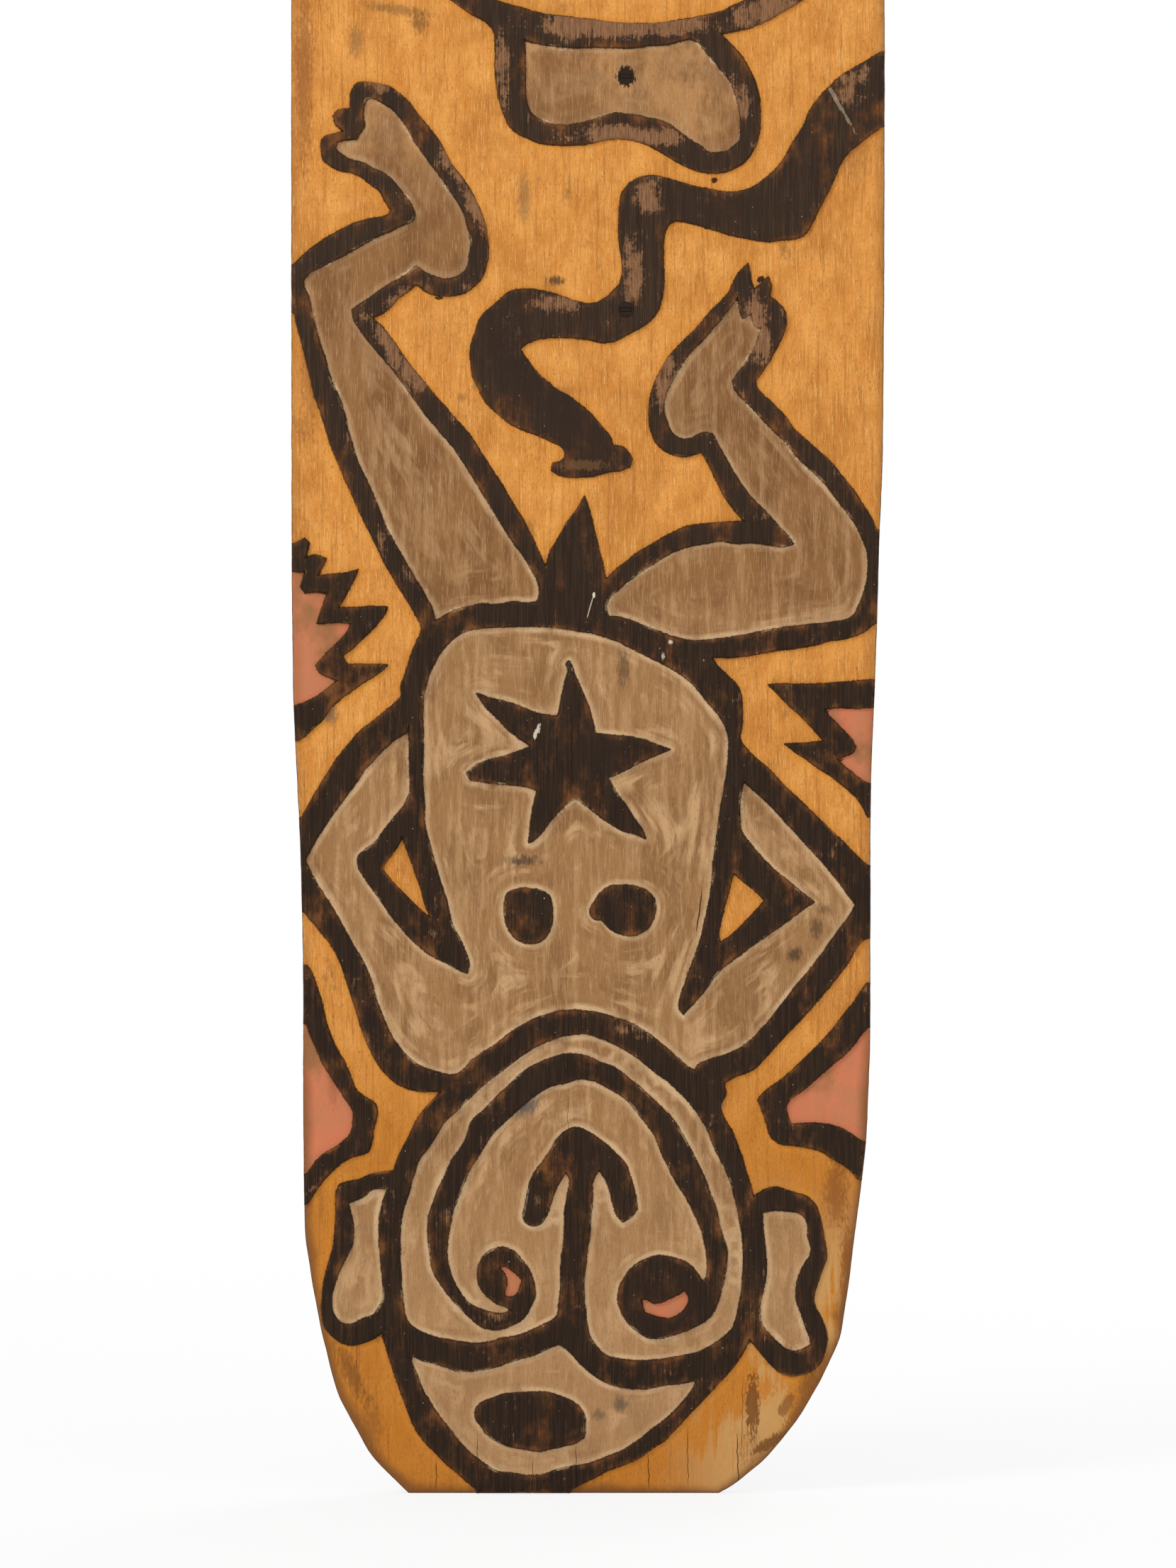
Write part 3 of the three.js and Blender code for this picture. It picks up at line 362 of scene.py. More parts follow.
class Surface(Graph):
    """The graph of one of the shield's own materials.

    Attributes:
        material: the material.
        place: place on the shield, in millimetres.
        across: how far right of the plank's middle it is.
        depth: how far behind the plank's middle.
        height: how far above its foot.
    """

    def __init__(self, name: str) -> None:
        """Starts the material.

        Args:
            name: material name.
        """
        self.material = bpy.data.materials.new(name)
        super().__init__(self.material)
        metres = self.value("TexCoord", {}, "Object")
        self.place = self.vector("MULTIPLY", metres, (1 / MM, 1 / MM, 1 / MM))
        axes = self.value("SeparateXYZ", {0: self.place}).socket.node.outputs
        self.across, self.depth, self.height = (Value(self, axes[axis]) for axis in "XYZ")

    def noise(
        self, scale: Triple, detail: float, roughness: float, shift: float = 0, at: Value | None = None
    ) -> Value:
        """Adds a noise.

        Args:
            scale: cells per millimetre along each axis.
            detail: octaves.
            roughness: weight of the finer octaves.
            shift: moves the pattern, so that two noises differ.
            at: the vector it is read at, or none for the place on the shield.

        Returns:
            The noise, from 0 to 1.
        """
        spread = self.vector("MULTIPLY", at or self.place, scale)
        moved = self.vector("ADD", spread, (shift, shift * 1.7, shift * 0.6))
        inputs = {"Vector": moved, "Scale": 1.0, "Detail": detail, "Roughness": roughness}
        return self.value("TexNoise", inputs, "Fac")

    def spot(self, spot: Spot, fray: Value) -> Value:
        """Gives the mask of one spot.

        Args:
            spot: the spot.
            fray: noise about 0 that frays its edge.

        Returns:
            Its strength, from 0 outside it.
        """
        (x, z), (half_x, half_z) = seen(*spot.place), seen(*spot.half)
        away = self.vector("SUBTRACT", self.place, (x, 0.0, z))
        cos, sin = math.cos(math.radians(spot.tilt)), math.sin(math.radians(spot.tilt))
        along = self.vector("DOT_PRODUCT", away, (cos / half_x, 0.0, sin / half_x))
        up = self.vector("DOT_PRODUCT", away, (-sin / half_z, 0.0, cos / half_z))
        frayed = self.math("SQRT", along * along + up * up) + fray * (spot.rough * 3.0)
        return frayed.step(1.0 + spot.blur * 0.5, 1.0 - spot.blur) * spot.strength

    def spots(self, marks: tuple[tuple[Color, Spot], ...], fray: Value) -> list[tuple[Value, Color]]:
        """Makes coats of coloured spots."""
        return [(self.spot(spot, fray), color) for color, spot in marks]

    def marked(self, color: Value, marks: tuple[tuple[Color, Spot], ...]) -> Value:
        """Lays finely frayed marks over a colour."""
        fray = self.noise((0.55, 0.55, 0.2), 4, 0.65, 23) - 0.5
        return self.coats(color, *self.spots(marks, fray))

    def specks(self) -> Value:
        """Gives the mask of sparse pale specks."""
        return self.noise((0.62, 0.62, 0.5), 1, 0.5, 71).step(0.79, 0.82)

    def cracks(self) -> Value:
        """Gives the mask of all drying cracks, thin at both ends and wavering with the grain.

        Returns:
            1 in a crack, 0 beside it.
        """
        across = self.across + (self.noise((0.0, 0.0, 0.11), 4, 0.6) - 0.5) * 5.0
        masks = []
        for crack in CRACKS:
            (x0, z0), (x1, z1) = seen(*crack.low), seen(*crack.high)
            slope = (x1 - x0) / (z1 - z0)
            line = self.math("MULTIPLY_ADD", self.height, slope, x0 - slope * z0)
            along = self.math("ABSOLUTE", self.height - (z0 + z1) / 2) / ((z1 - z0) / 2)
            width = along.step(1.0, 0.4) * (crack.width / 2)
            off = self.math("ABSOLUTE", across - line) / (width + 0.001)
            masks.append(off.step(1.0, 0.55) * along.step(1.0, 0.97))
        return self.largest(masks)

    def finish(
        self, color: Value, relief: Value, depth: float, roughness: Value | float, gloss: float = 0.12
    ) -> bpy.types.Material:
        """Joins up the surface.

        Args:
            color: its colour.
            relief: height of its fine relief.
            depth: what a height of 1 stands for, in metres.
            roughness: its roughness.
            gloss: level of its mirror light.

        Returns:
            The material.
        """
        bump = self.value("Bump", {"Distance": depth, "Strength": 1.0, "Height": relief}, "Normal")
        looks = {"Base Color": color, "Normal": bump, "Roughness": roughness, "Specular IOR Level": gloss}
        self.join(self.nodes["Principled BSDF"], looks)
        return self.material


class PaintedFields(Surface):
    """Earth paints on the floor of the fields, worn off along the plank's edge.

    Attributes:
        edge: millimetres to the nearest band.
        grain: the wood's own pattern.
        fibre: a coarser one.
        pores: a finer one.
        cloud: slow change of the paint.
        patch: a slower one.
        fray: what frays the paint's edges.
    """

    def __init__(self) -> None:
        """Starts the material with the patterns that its paints share."""
        super().__init__("painted_fields")
        self.edge = self.attribute("Edge")
        self.grain = self.noise((1.3, 1.3, 0.085), 4, 0.62)
        self.fibre = self.noise((0.34, 0.34, 0.018), 4, 0.65, 6)
        self.pores = self.noise((2.3, 2.3, 0.34), 3, 0.62, 4)
        self.cloud = self.noise((0.05, 0.05, 0.028), 5, 0.65, 2)
        self.patch = self.noise((0.02, 0.02, 0.014), 4, 0.6, 9)
        self.fray = self.noise((0.5, 0.5, 0.42), 4, 0.7, 12)

    def ochre(self) -> Value:
        """Mixes the ochre of the ground, deeper towards the foot and rubbed at its lower right.

        Returns:
            Its colour.
        """
        smudges = self.noise((0.045, 0.045, 0.026), 5, 0.72, 17)
        pale = self.mix(self.height.step(420, 240), (240, 184, 110), (208, 136, 56))
        rubbed = self.height.step(260, 150) * self.across.step(40, 120)
        rubbed = rubbed * (self.patch + self.fibre * 0.5).step(0.66, 0.82)
        return self.coats(
            self.mix(self.cloud.step(0.34, 0.68), (210, 136, 60), (232, 160, 80)),
            (self.height.step(380, 220) * 0.75, (190, 117, 34)),
            (self.edge.step(8.0, 1.5) * 0.5, (226, 148, 58)),
            (self.patch.step(0.48, 0.66) * 0.42, (176, 110, 48)),
            (self.fibre.step(0.5, 0.68) * 0.42, (152, 92, 40)),
            (self.grain.step(0.52, 0.68) * 0.65, pale),
            (smudges.step(0.6, 0.74) * 0.55, (112, 88, 58)),
            (self.pores.step(0.56, 0.66) * 0.6, (120, 70, 30)),
            (rubbed * 0.8, (206, 162, 104)),
        )

    def grey(self) -> Value:
        """Mixes the grey of the figures: wiped, brushed along the bands, chalky beside them lower down, with
        painted light at the foot.

        Returns:
            Its colour.
        """
        turning = {0: self.edge, 1: self.across * 0.02, 2: self.height * 0.02}
        swirl = self.noise((0.1, 1.0, 1.0), 3, 0.6, at=self.value("CombineXYZ", turning))
        wipe = self.noise((0.032, 0.032, 0.02), 5, 0.66, 31)
        streak = self.noise((0.16, 0.16, 0.02), 4, 0.62, 41)
        lower, nearer = self.height.step(700, 640), self.height.step(920, 760)
        calm = lower * 0.3 + nearer * 0.25 + 0.3
        brushed = swirl.step(0.46, 0.66) * (wipe + streak * 0.4).step(0.58, 0.78)
        chalk = (self.edge + swirl * 9.0).step(10.5, 5.0) * wipe.step(0.74, 0.4)
        return self.coats(
            self.mix(lower, (146, 103, 62), (161, 118, 75)),
            (self.height.step(1000, 1030), (180, 131, 82)),
            (wipe.step(0.42, 0.6) * 0.75, self.mix(lower, (122, 82, 48), (138, 98, 60))),
            (streak.step(0.46, 0.7) * (calm * 0.75), (194, 152, 106)),
            (brushed * calm, self.mix(lower, (188, 146, 102), (206, 164, 118))),
            # painted light: lighter towards the foot, standing in for the key lamp's light that falls off
            # there
            (self.height.step(300, 120) * 0.4, (196, 152, 106)),
            (chalk * (lower * 0.3 + nearer * 0.38 + 0.32), (224, 186, 142)),
            (self.pores.step(0.55, 0.67) * 0.5, (104, 71, 44)),
            (self.grain.step(0.52, 0.68) * 0.4, (208, 168, 122)),
        )

    def red(self) -> Value:
        """Mixes the red of the small fields, browned in patches.

        Returns:
            Its colour.
        """
        return self.coats(
            self.mix(self.cloud.step(0.35, 0.65), (212, 124, 88), (196, 126, 88)),
            (self.patch.step(0.52, 0.66) * self.height.step(200, 260), (160, 110, 70)),
            (self.pores.step(0.58, 0.7) * 0.35, (140, 82, 56)),
        )

    def make(self) -> bpy.types.Material:
        """Puts the paints side by side, with black from the bands, browning along the plank's edge, marks,
        worn edges and cracks.

        Returns:
            The material.
        """
        grey = self.attribute("Grey")
        spell = self.noise((0.035, 0.035, 0.035), 3, 0.6, 52)
        flecks = (self.fray * 0.6 + spell).step(0.88, 0.96) * self.edge.step(3.0, 1.2)
        overrun = (self.edge + (self.fray * 2.8 + spell * 3.2)).step(4.1, 3.3)
        # browner towards the plank's edge, more so near the foot
        rim_browning = (self.attribute("Rim") + self.patch * 16.0).step(18, 8)
        paint = self.coats(
            self.ochre(),
            (grey, self.grey()),
            (self.attribute("Red"), self.red()),
            (flecks * 0.8 * grey, (216, 190, 148)),
            (overrun * 0.9, (50, 33, 22)),
            (rim_browning * (self.height.step(420, 260) * 0.5 + 0.35), (124, 80, 44)),
            (self.specks() * 0.7, (232, 208, 168)),
        )
        cracks = self.cracks()
        color = self.coats(
            self.marked(paint, FIELD_MARKS),
            ((self.attribute("Bare") - self.fray * 0.8).step(0.1, 0.3),
             self.mix(self.fibre.step(0.35, 0.7), (70, 45, 28), (108, 72, 44))),
            (cracks * 0.9, (34, 20, 12)),
        )
        return self.finish(color, self.grain * 0.5 + self.pores * 0.5 - cracks * 2.0, 0.00025, 0.85)


class BareHardwood(Surface):
    """Bare hardwood of the sides and the back, polished by the hand inside the grip, and painted lighter
    there as a painted highlight.

    Attributes:
        HELD: middle of the polished place with its painted highlight, in millimetres.
    """

    HELD = (28.8, 12.0, 987.8)

    def make(self) -> bpy.types.Material:
        """Lays grain, patina, the hand's polish with its painted highlight, pores and worn ridges over the
        wood.

        Returns:
            The material.
        """
        grain = self.noise((0.9, 0.9, 0.02), 4, 0.6)
        fibre = self.noise((0.16, 0.16, 0.005), 4, 0.65, 6)
        pores = self.noise((2.2, 2.2, 0.1), 3, 0.6, 4)
        patina = self.noise((0.012, 0.012, 0.006), 4, 0.6, 9)
        away = self.vector("MULTIPLY", self.vector("SUBTRACT", self.place, self.HELD), (1.0, 1.0, 0.6))
        polish_and_painted_sheen = (self.vector("LENGTH", away) + patina * 90.0).step(150, 70)
        color = self.coats(
            self.mix(fibre.step(0.34, 0.66), (72, 46, 28), (112, 75, 46)),
            (grain.step(0.48, 0.7) * 0.55, (134, 94, 60)),
            (patina.step(0.42, 0.66) * 0.42, (58, 38, 25)),
            # painted highlight: lighter round the grip, where the hand also polished the wood smoother
            (polish_and_painted_sheen * 0.38, (138, 96, 58)),
            (pores.step(0.56, 0.68) * 0.5, (40, 25, 16)),
            (self.attribute("Rim").step(7.0, 1.0) * 0.4, (52, 33, 21)),
            (self.attribute("Ridge") * 0.12, (140, 98, 62)),
        )
        return self.finish(color, grain * 0.5 + pores * 0.5, 0.0003, 0.66 - polish_and_painted_sheen * 0.18, 0.3)


class BlackenedBands(Surface):
    """Blackened wood of the bands, worn along the grain to brown and pale wood."""

    def make(self) -> bpy.types.Material:
        """Lays wear, unbroken black, rubbed edges, specks, splashes and cracks over the black.

        Returns:
            The material.
        """
        edge = self.attribute("Edge")
        grain = self.noise((0.9, 0.9, 0.03), 5, 0.65)
        fine = self.noise((2.4, 2.4, 0.1), 3, 0.6, 5)
        mottle = self.noise((0.06, 0.06, 0.032), 5, 0.68, 13)
        patch = self.noise((0.036, 0.036, 0.03), 5, 0.7, 21)
        fray = self.noise((0.5, 0.5, 0.42), 4, 0.7, 12)
        spell = self.noise((0.035, 0.035, 0.035), 3, 0.6, 52)
        streaks, scuff, upper = grain - 0.5, fray - 0.5, self.height.step(560, 900)
        black, faded = (
            self.mix(grain.step(0.4, 0.68), *tones)
            for tones in (((40, 28, 19), (58, 41, 27)), ((50, 36, 26), (70, 51, 36)))
        )
        brown = mottle + streaks * 0.22 + edge.step(5.0, 0.5) * 0.09
        rubbed = self.largest(self.spot(spot, scuff) for spot in WORN)
        tan = patch + streaks * 0.35 + rubbed * 0.27 + upper * 0.03
        wood = self.mix((fine + grain * 0.5).step(0.5, 0.95), (98, 66, 43), (164, 118, 82))
        chipped = edge.step(1.5, 0.6) * (fray * 0.5 + spell).step(0.82, 0.94)
        color = self.coats(
            self.mix(upper, black, faded),
            (brown.step(0.51, 0.66) * 0.62, (92, 57, 31)),
            (brown.step(0.62, 0.74) * 0.6, (132, 82, 42)),
            (tan.step(0.63, 0.75) * 0.88, wood),
            *self.spots(BLACK, scuff),
            (fine.step(0.6, 0.72) * 0.3, (30, 21, 15)),
            (chipped * 0.55, self.mix(self.attribute("Grey"), (150, 96, 42), (198, 166, 124))),
            (self.specks() * 0.75, (206, 184, 150)),
        )
        cracks = self.cracks()
        color = self.mix(cracks * 0.9, self.marked(color, BAND_MARKS), (18, 11, 7))
        return self.finish(color, grain * 0.6 + fine * 0.4 - cracks * 2.0, 0.0003, 0.72)


@dataclass(frozen=True)
class PlainFinish:
    """Two-toned fibre or wood of a small piece, blackened where it comes out at the front.

    Attributes:
        name: material name.
        dark: display colour of the dark streaks.
        light: display colour between them.
        scale: streaks per millimetre along each axis.
        roughness: surface roughness.
        blackened: depths between which the black sets in, in millimetres.
    """

    name: str
    dark: Color
    light: Color
    scale: Triple
    roughness: float
    blackened: Pair = (-7.4, -8.4)

    def make(self) -> bpy.types.Material:
        """Lays dark clouds and the front's black over the streaks.

        Returns:
            The material.
        """
        surface = Surface(self.name)
        streak = surface.noise(self.scale, 4, 0.6)
        cloud = surface.noise((0.08, 0.08, 0.08), 3, 0.6, 7)
        color = surface.coats(
            surface.mix(streak.step(0.35, 0.68), self.dark, self.light),
            (cloud.step(0.5, 0.72) * 0.4, self.dark),
            (surface.depth.step(*self.blackened), (42, 30, 22)),
        )
        return surface.finish(color, streak, 0.0002, self.roughness)


HARDWOOD = PlainFinish("hardwood", (70, 44, 26), (118, 80, 48), (0.9, 0.9, 0.05), 0.6)
WEDGE_WOOD = PlainFinish("driven_wedge", (46, 30, 20), (84, 58, 38), (1.2, 0.2, 1.2), 0.7)
CANE = PlainFinish("cane", (138, 98, 54), (186, 142, 88), (0.9, 0.9, 0.06), 0.42)
SPLIT_CANE = PlainFinish("split_cane", (104, 70, 38), (160, 118, 72), (0.5, 0.5, 1.4), 0.5)
CORD = PlainFinish("fibre_cord", (74, 54, 34), (132, 102, 68), (1.6, 1.6, 1.6), 0.85)


# Reading and softening the carved outlines


def signed_area(loop: np.ndarray) -> float:
    """Area of a closed outline, positive if it runs anticlockwise."""
    x, z = loop[:, 0], loop[:, 1]
    return float((x * np.roll(z, -1) - np.roll(x, -1) * z).sum() / 2)


def inside(loop: np.ndarray, x: float, z: float) -> bool:
    """Tells whether a place is inside an outline.

    Args:
        loop: the outline.
        x: place across.
        z: place up.

    Returns:
        True if it is.
    """
    ax, az = loop[:, 0], loop[:, 1]
    bx, bz = np.roll(ax, -1), np.roll(az, -1)
    crosses = (az > z) != (bz > z)
    where = ax[crosses] + (z - az[crosses]) / (bz[crosses] - az[crosses]) * (bx[crosses] - ax[crosses])
    return bool((where > x).sum() % 2)


def left_of(loop: np.ndarray) -> np.ndarray:
    """Gives the direction to the left at each point of an outline.

    Args:
        loop: the outline.

    Returns:
        A unit direction for each point.
    """
    along = np.roll(loop, -1, axis=0) - np.roll(loop, 1, axis=0)
    along /= np.maximum(np.hypot(along[:, 0], along[:, 1]), 1e-6)[:, None]
    return np.stack([-along[:, 1], along[:, 0]], axis=1)


def boundary(triangles: np.ndarray) -> list[tuple[int, int]]:
    """Finds the directed edges that only one triangle has, with that triangle on their left."""
    edges = {(int(a), int(b)) for t in triangles for a, b in zip(t, np.roll(t, -1))}
    return [(a, b) for a, b in edges if (b, a) not in edges]


def chained(points: np.ndarray, edges: list[tuple[int, int]]) -> list[np.ndarray]:
    """Chains directed edges into closed outlines.

    Args:
        points: the points that the edges count.
        edges: the edges.

    Returns:
        Outlines as (x, z) in millimetres.
    """
    following: dict[int, list[int]] = {}
    for a, b in edges:
        following.setdefault(int(a), []).append(int(b))
    found = []
    while following:
        start = next(iter(following))
        chain, here = [start], start
        while here in following:
            onward = following[here].pop()
            if not following[here]:
                del following[here]
            if onward == start:
                break
            chain.append(onward)
            here = onward
        if len(chain) > 3:
            found.append(points[chain][:, [0, 2]])
    return found


@dataclass
class FrameRelief:
    """The plank's outline and the outlines of its fields, as they are in the frame's own solid.

    Attributes:
        front: depth of the bands' tops, in millimetres.
        floor: depth of the fields' floor.
        back: depth of the back.
        outline: the plank's outline, anticlockwise as seen from the front.
        fields: outlines of all fields and of what stands in them, with the field on the left.
    """

    front: float
    floor: float
    back: float
    outline: np.ndarray
    fields: list[np.ndarray]

    @classmethod
    def read(cls, plank: bpy.types.Object, tenons: list[Pair]) -> "FrameRelief":
        """Reads the outlines.

        Args:
            plank: the frame's plank.
            tenons: where the grip's tenons go through it, in millimetres.

        Returns:
            The relief.
        """
        level, hole_reach = 0.05, 9.0
        mesh = plank.data
        mesh.calc_loop_triangles()
        places = np.empty(len(mesh.vertices) * 3)
        mesh.vertices.foreach_get("co", places)
        corners = np.empty(len(mesh.loop_triangles) * 3, dtype=np.int64)
        mesh.loop_triangles.foreach_get("vertices", corners)
        points, index = np.unique(np.round(places.reshape(-1, 3) / MM, 2), axis=0, return_inverse=True)
        triangles = index.reshape(-1)[corners].reshape(-1, 3)
        depths = points[:, 1]
        at = depths[triangles]
        front, back = depths.min(), depths.max()

        levels, counts = np.unique(np.round(at.reshape(-1), 1), return_counts=True)
        inner = (levels > front + 1) & (levels < 0)
        floor = levels[inner][np.argmax(counts[inner])]
        rims = chained(points, boundary(triangles[np.all(np.abs(at - floor) < level, axis=1)]))
        fields = [
            rim for rim in rims
            if not any(np.hypot(*(rim - np.array(spot)).T).max() < hole_reach for spot in tenons)
        ]

        shoulder = np.sort(np.unique(np.round(depths, 2)))[-2]
        edged, below = np.abs(at - shoulder) < level, at < shoulder - level
        sides = triangles[edged.any(axis=1) & below.any(axis=1) & (edged | below).all(axis=1)]
        edges = [
            (a, b)
            for side in sides
            for a, b in zip(side, np.roll(side, -1))
            if abs(depths[a] - shoulder) < level and abs(depths[b] - shoulder) < level
        ]
        outline = max(chained(points, edges), key=lambda loop: abs(signed_area(loop)))
        if signed_area(outline) < 0:
            outline = outline[::-1]
        LOG.info("frame: front %.1f, floor %.1f, back %.1f, %d outlines, %d points in the plank's",
                 front, floor, back, len(fields), len(outline))
        return cls(front, floor, back, outline, fields)


@dataclass
class HandCut:
    """Turns a few-cornered outline into one cut by hand: rounded between its corners, with a slight waver.

    Attributes:
        spacing: distance between points, in millimetres.
        corner: turn above which a corner stays sharp, in degrees.
        reach: how far a curve carries on into a longer neighbour, as a share of its own length.
        waver: size of the slow waver, in millimetres.
        tremble: size of the quick one.
    """

    spacing: float = 1.9
    corner: float = 48.0
    reach: float = 1.4
    waver: float = 0.28
    tremble: float = 0.22

    def soften(self, loop: np.ndarray) -> np.ndarray:
        """Rounds an outline with a cubic curve between each two corners.

        Args:
            loop: its corners.

        Returns:
            Its points, evenly spaced.
        """
        shortest = 0.25
        loop = loop[np.hypot(*(loop - np.roll(loop, 1, axis=0)).T) > shortest]
        ahead = np.roll(loop, -1, axis=0) - loop
        length = np.hypot(ahead[:, 0], ahead[:, 1])
        ahead /= length[:, None]
        behind = np.roll(ahead, 1, axis=0)
        before = np.roll(length, 1)
        turn = np.degrees(np.abs(np.arctan2(
            behind[:, 0] * ahead[:, 1] - behind[:, 1] * ahead[:, 0], (behind * ahead).sum(axis=1))))
        tangent = behind * length[:, None] + ahead * before[:, None]
        tangent /= np.maximum(np.hypot(tangent[:, 0], tangent[:, 1]), 1e-6)[:, None]
        sharp = turn > self.corner
        pull = np.minimum(length, before * self.reach)
        press = np.minimum(length, np.roll(length, -1) * self.reach)
        points = []
        for i in range(len(loop)):
            j = (i + 1) % len(loop)
            start = ahead[i] if sharp[i] else tangent[i]
            end = ahead[i] if sharp[j] else tangent[j]
            count = max(1, round(length[i] / self.spacing))
            for s in (step / count for step in range(count)):
                points.append(
                    (2 * s**3 - 3 * s**2 + 1) * loop[i] + (s**3 - 2 * s**2 + s) * pull[i] * start
                    + (3 * s**2 - 2 * s**3) * loop[j] + (s**3 - s**2) * press[i] * end
                )
        return np.array(points)

    def cut(self, loop: np.ndarray) -> np.ndarray:
        """Rounds an outline and gives it its waver.

        Args:
            loop: its corners.

        Returns:
            Its points.
        """
        points = self.soften(loop)
        for row in points:
            row += self.drift(row, 0.09, 0.5) * self.waver + self.drift(row, 0.37, 7.5) * self.tremble
        return points

    @staticmethod
    def drift(place: np.ndarray, pace: float, layer: float) -> np.ndarray:
        """Gives how far the hand has strayed at a place, by a pattern that is the same in every run."""
        x, z = place * pace
        return np.array([noise.noise(Vector((x, z, layer + shift))) for shift in (0.0, 31.0)])


class Nearest:
    """Finds the nearest of many places on the front.

    Attributes:
        tree: the places.
        notes: what is kept with each of them.
    """

    def __init__(self, places: Iterable[np.ndarray], notes: list | None = None) -> None:
        """Stores the places.

        Args:
            places: (x, z) of each, in millimetres.
            notes: what is kept with each.
        """
        places = list(places)
        self.notes = notes
        self.tree = kdtree.KDTree(len(places))
        for number, (x, z) in enumerate(places):
            self.tree.insert((x, z, 0.0), number)
        self.tree.balance()

    @classmethod
    def of(cls, loops: list[np.ndarray]) -> "Nearest":
        """Stores the points of outlines, with one more between each two."""
        return cls(np.vstack([*loops, *((loop + np.roll(loop, -1, axis=0)) / 2 for loop in loops)]))

    def distance(self, x: float, z: float) -> float:
        """Gives the distance to the nearest place, in millimetres."""
        return self.tree.find((x, z, 0.0))[2]

    def note(self, x: float, z: float) -> object:
        """Gives what is kept with the nearest place."""
        return self.notes[self.tree.find((x, z, 0.0))[1]]


@dataclass
class Carving:
    """All outlines of the front, cut by hand, and what lies inside each.

    Attributes:
        outline: the plank.
        fields: the fields' outlines, with the field on the left.
        paints: the paint inside each outline.
        holes: the tenon holes.
    """

    outline: np.ndarray
    fields: list[np.ndarray]
    paints: list[Paint]
    holes: list[np.ndarray]

    @classmethod
    def read(cls, relief: FrameRelief, tenons: list[Pair], hole_radius: float = 6.0) -> "Carving":
        """Cuts the frame's outlines by hand.

        Args:
            relief: the outlines of the frame.
            tenons: middles of the tenon holes, in millimetres.
            hole_radius: their radius.

        Returns:
            The carving.
        """
        hand = HandCut()
        outline = HandCut(spacing=3.0, waver=0.18, tremble=0.1, corner=30.0).cut(relief.outline)
        outline[:, 1] = np.maximum(outline[:, 1], 0.0)
        fields = [hand.cut(loop) for loop in relief.fields]
        cls.run_out(fields, outline)
        turns = np.linspace(0, 2 * np.pi, 25)[:-1]
        ring = np.stack([np.cos(turns), np.sin(turns)], axis=1) * hole_radius
        paints = [cls.paint_of(loop) for loop in fields]
        return cls(outline, fields, paints, [ring + np.array(spot) for spot in tenons])

    @staticmethod
    def run_out(fields: list[np.ndarray], outline: np.ndarray) -> None:
        """Pushes a field that reaches the plank's edge out past it, so that it stays open there.

        Args:
            fields: the fields' outlines, which are changed.
            outline: the plank's.
        """
        reach, push = 2.4, 7.0
        side_low, side_high = 60, 1420
        foot_top, foot_half = 6, 130
        rim, middle = Nearest.of([outline]), outline.mean(axis=0)
        for row in (row for loop in fields for row in loop):
            if rim.distance(*row) >= reach:
                continue
            away = row - middle
            if row[1] < foot_top and abs(row[0]) < foot_half:
                out = np.array([0.0, -1.0])
            elif side_low < row[1] < side_high:
                out = np.array([np.sign(away[0]), 0.0])
            else:
                out = away / np.hypot(*away)
            row += out * push

    @staticmethod
    def paint_of(loop: np.ndarray, largest: float = 90000.0) -> Paint:
        """Finds the paint inside an outline.

        Args:
            loop: the outline.
            largest: area in square millimetres from which it can only be ochre.

        Returns:
            Grey or red if one of their seeds is in it, else ochre.
        """
        for paint, places in PAINT_SEEDS.items():
            if abs(signed_area(loop)) < largest and any(inside(loop, *seen(*place)) for place in places):
                return paint
        return Paint.OCHRE


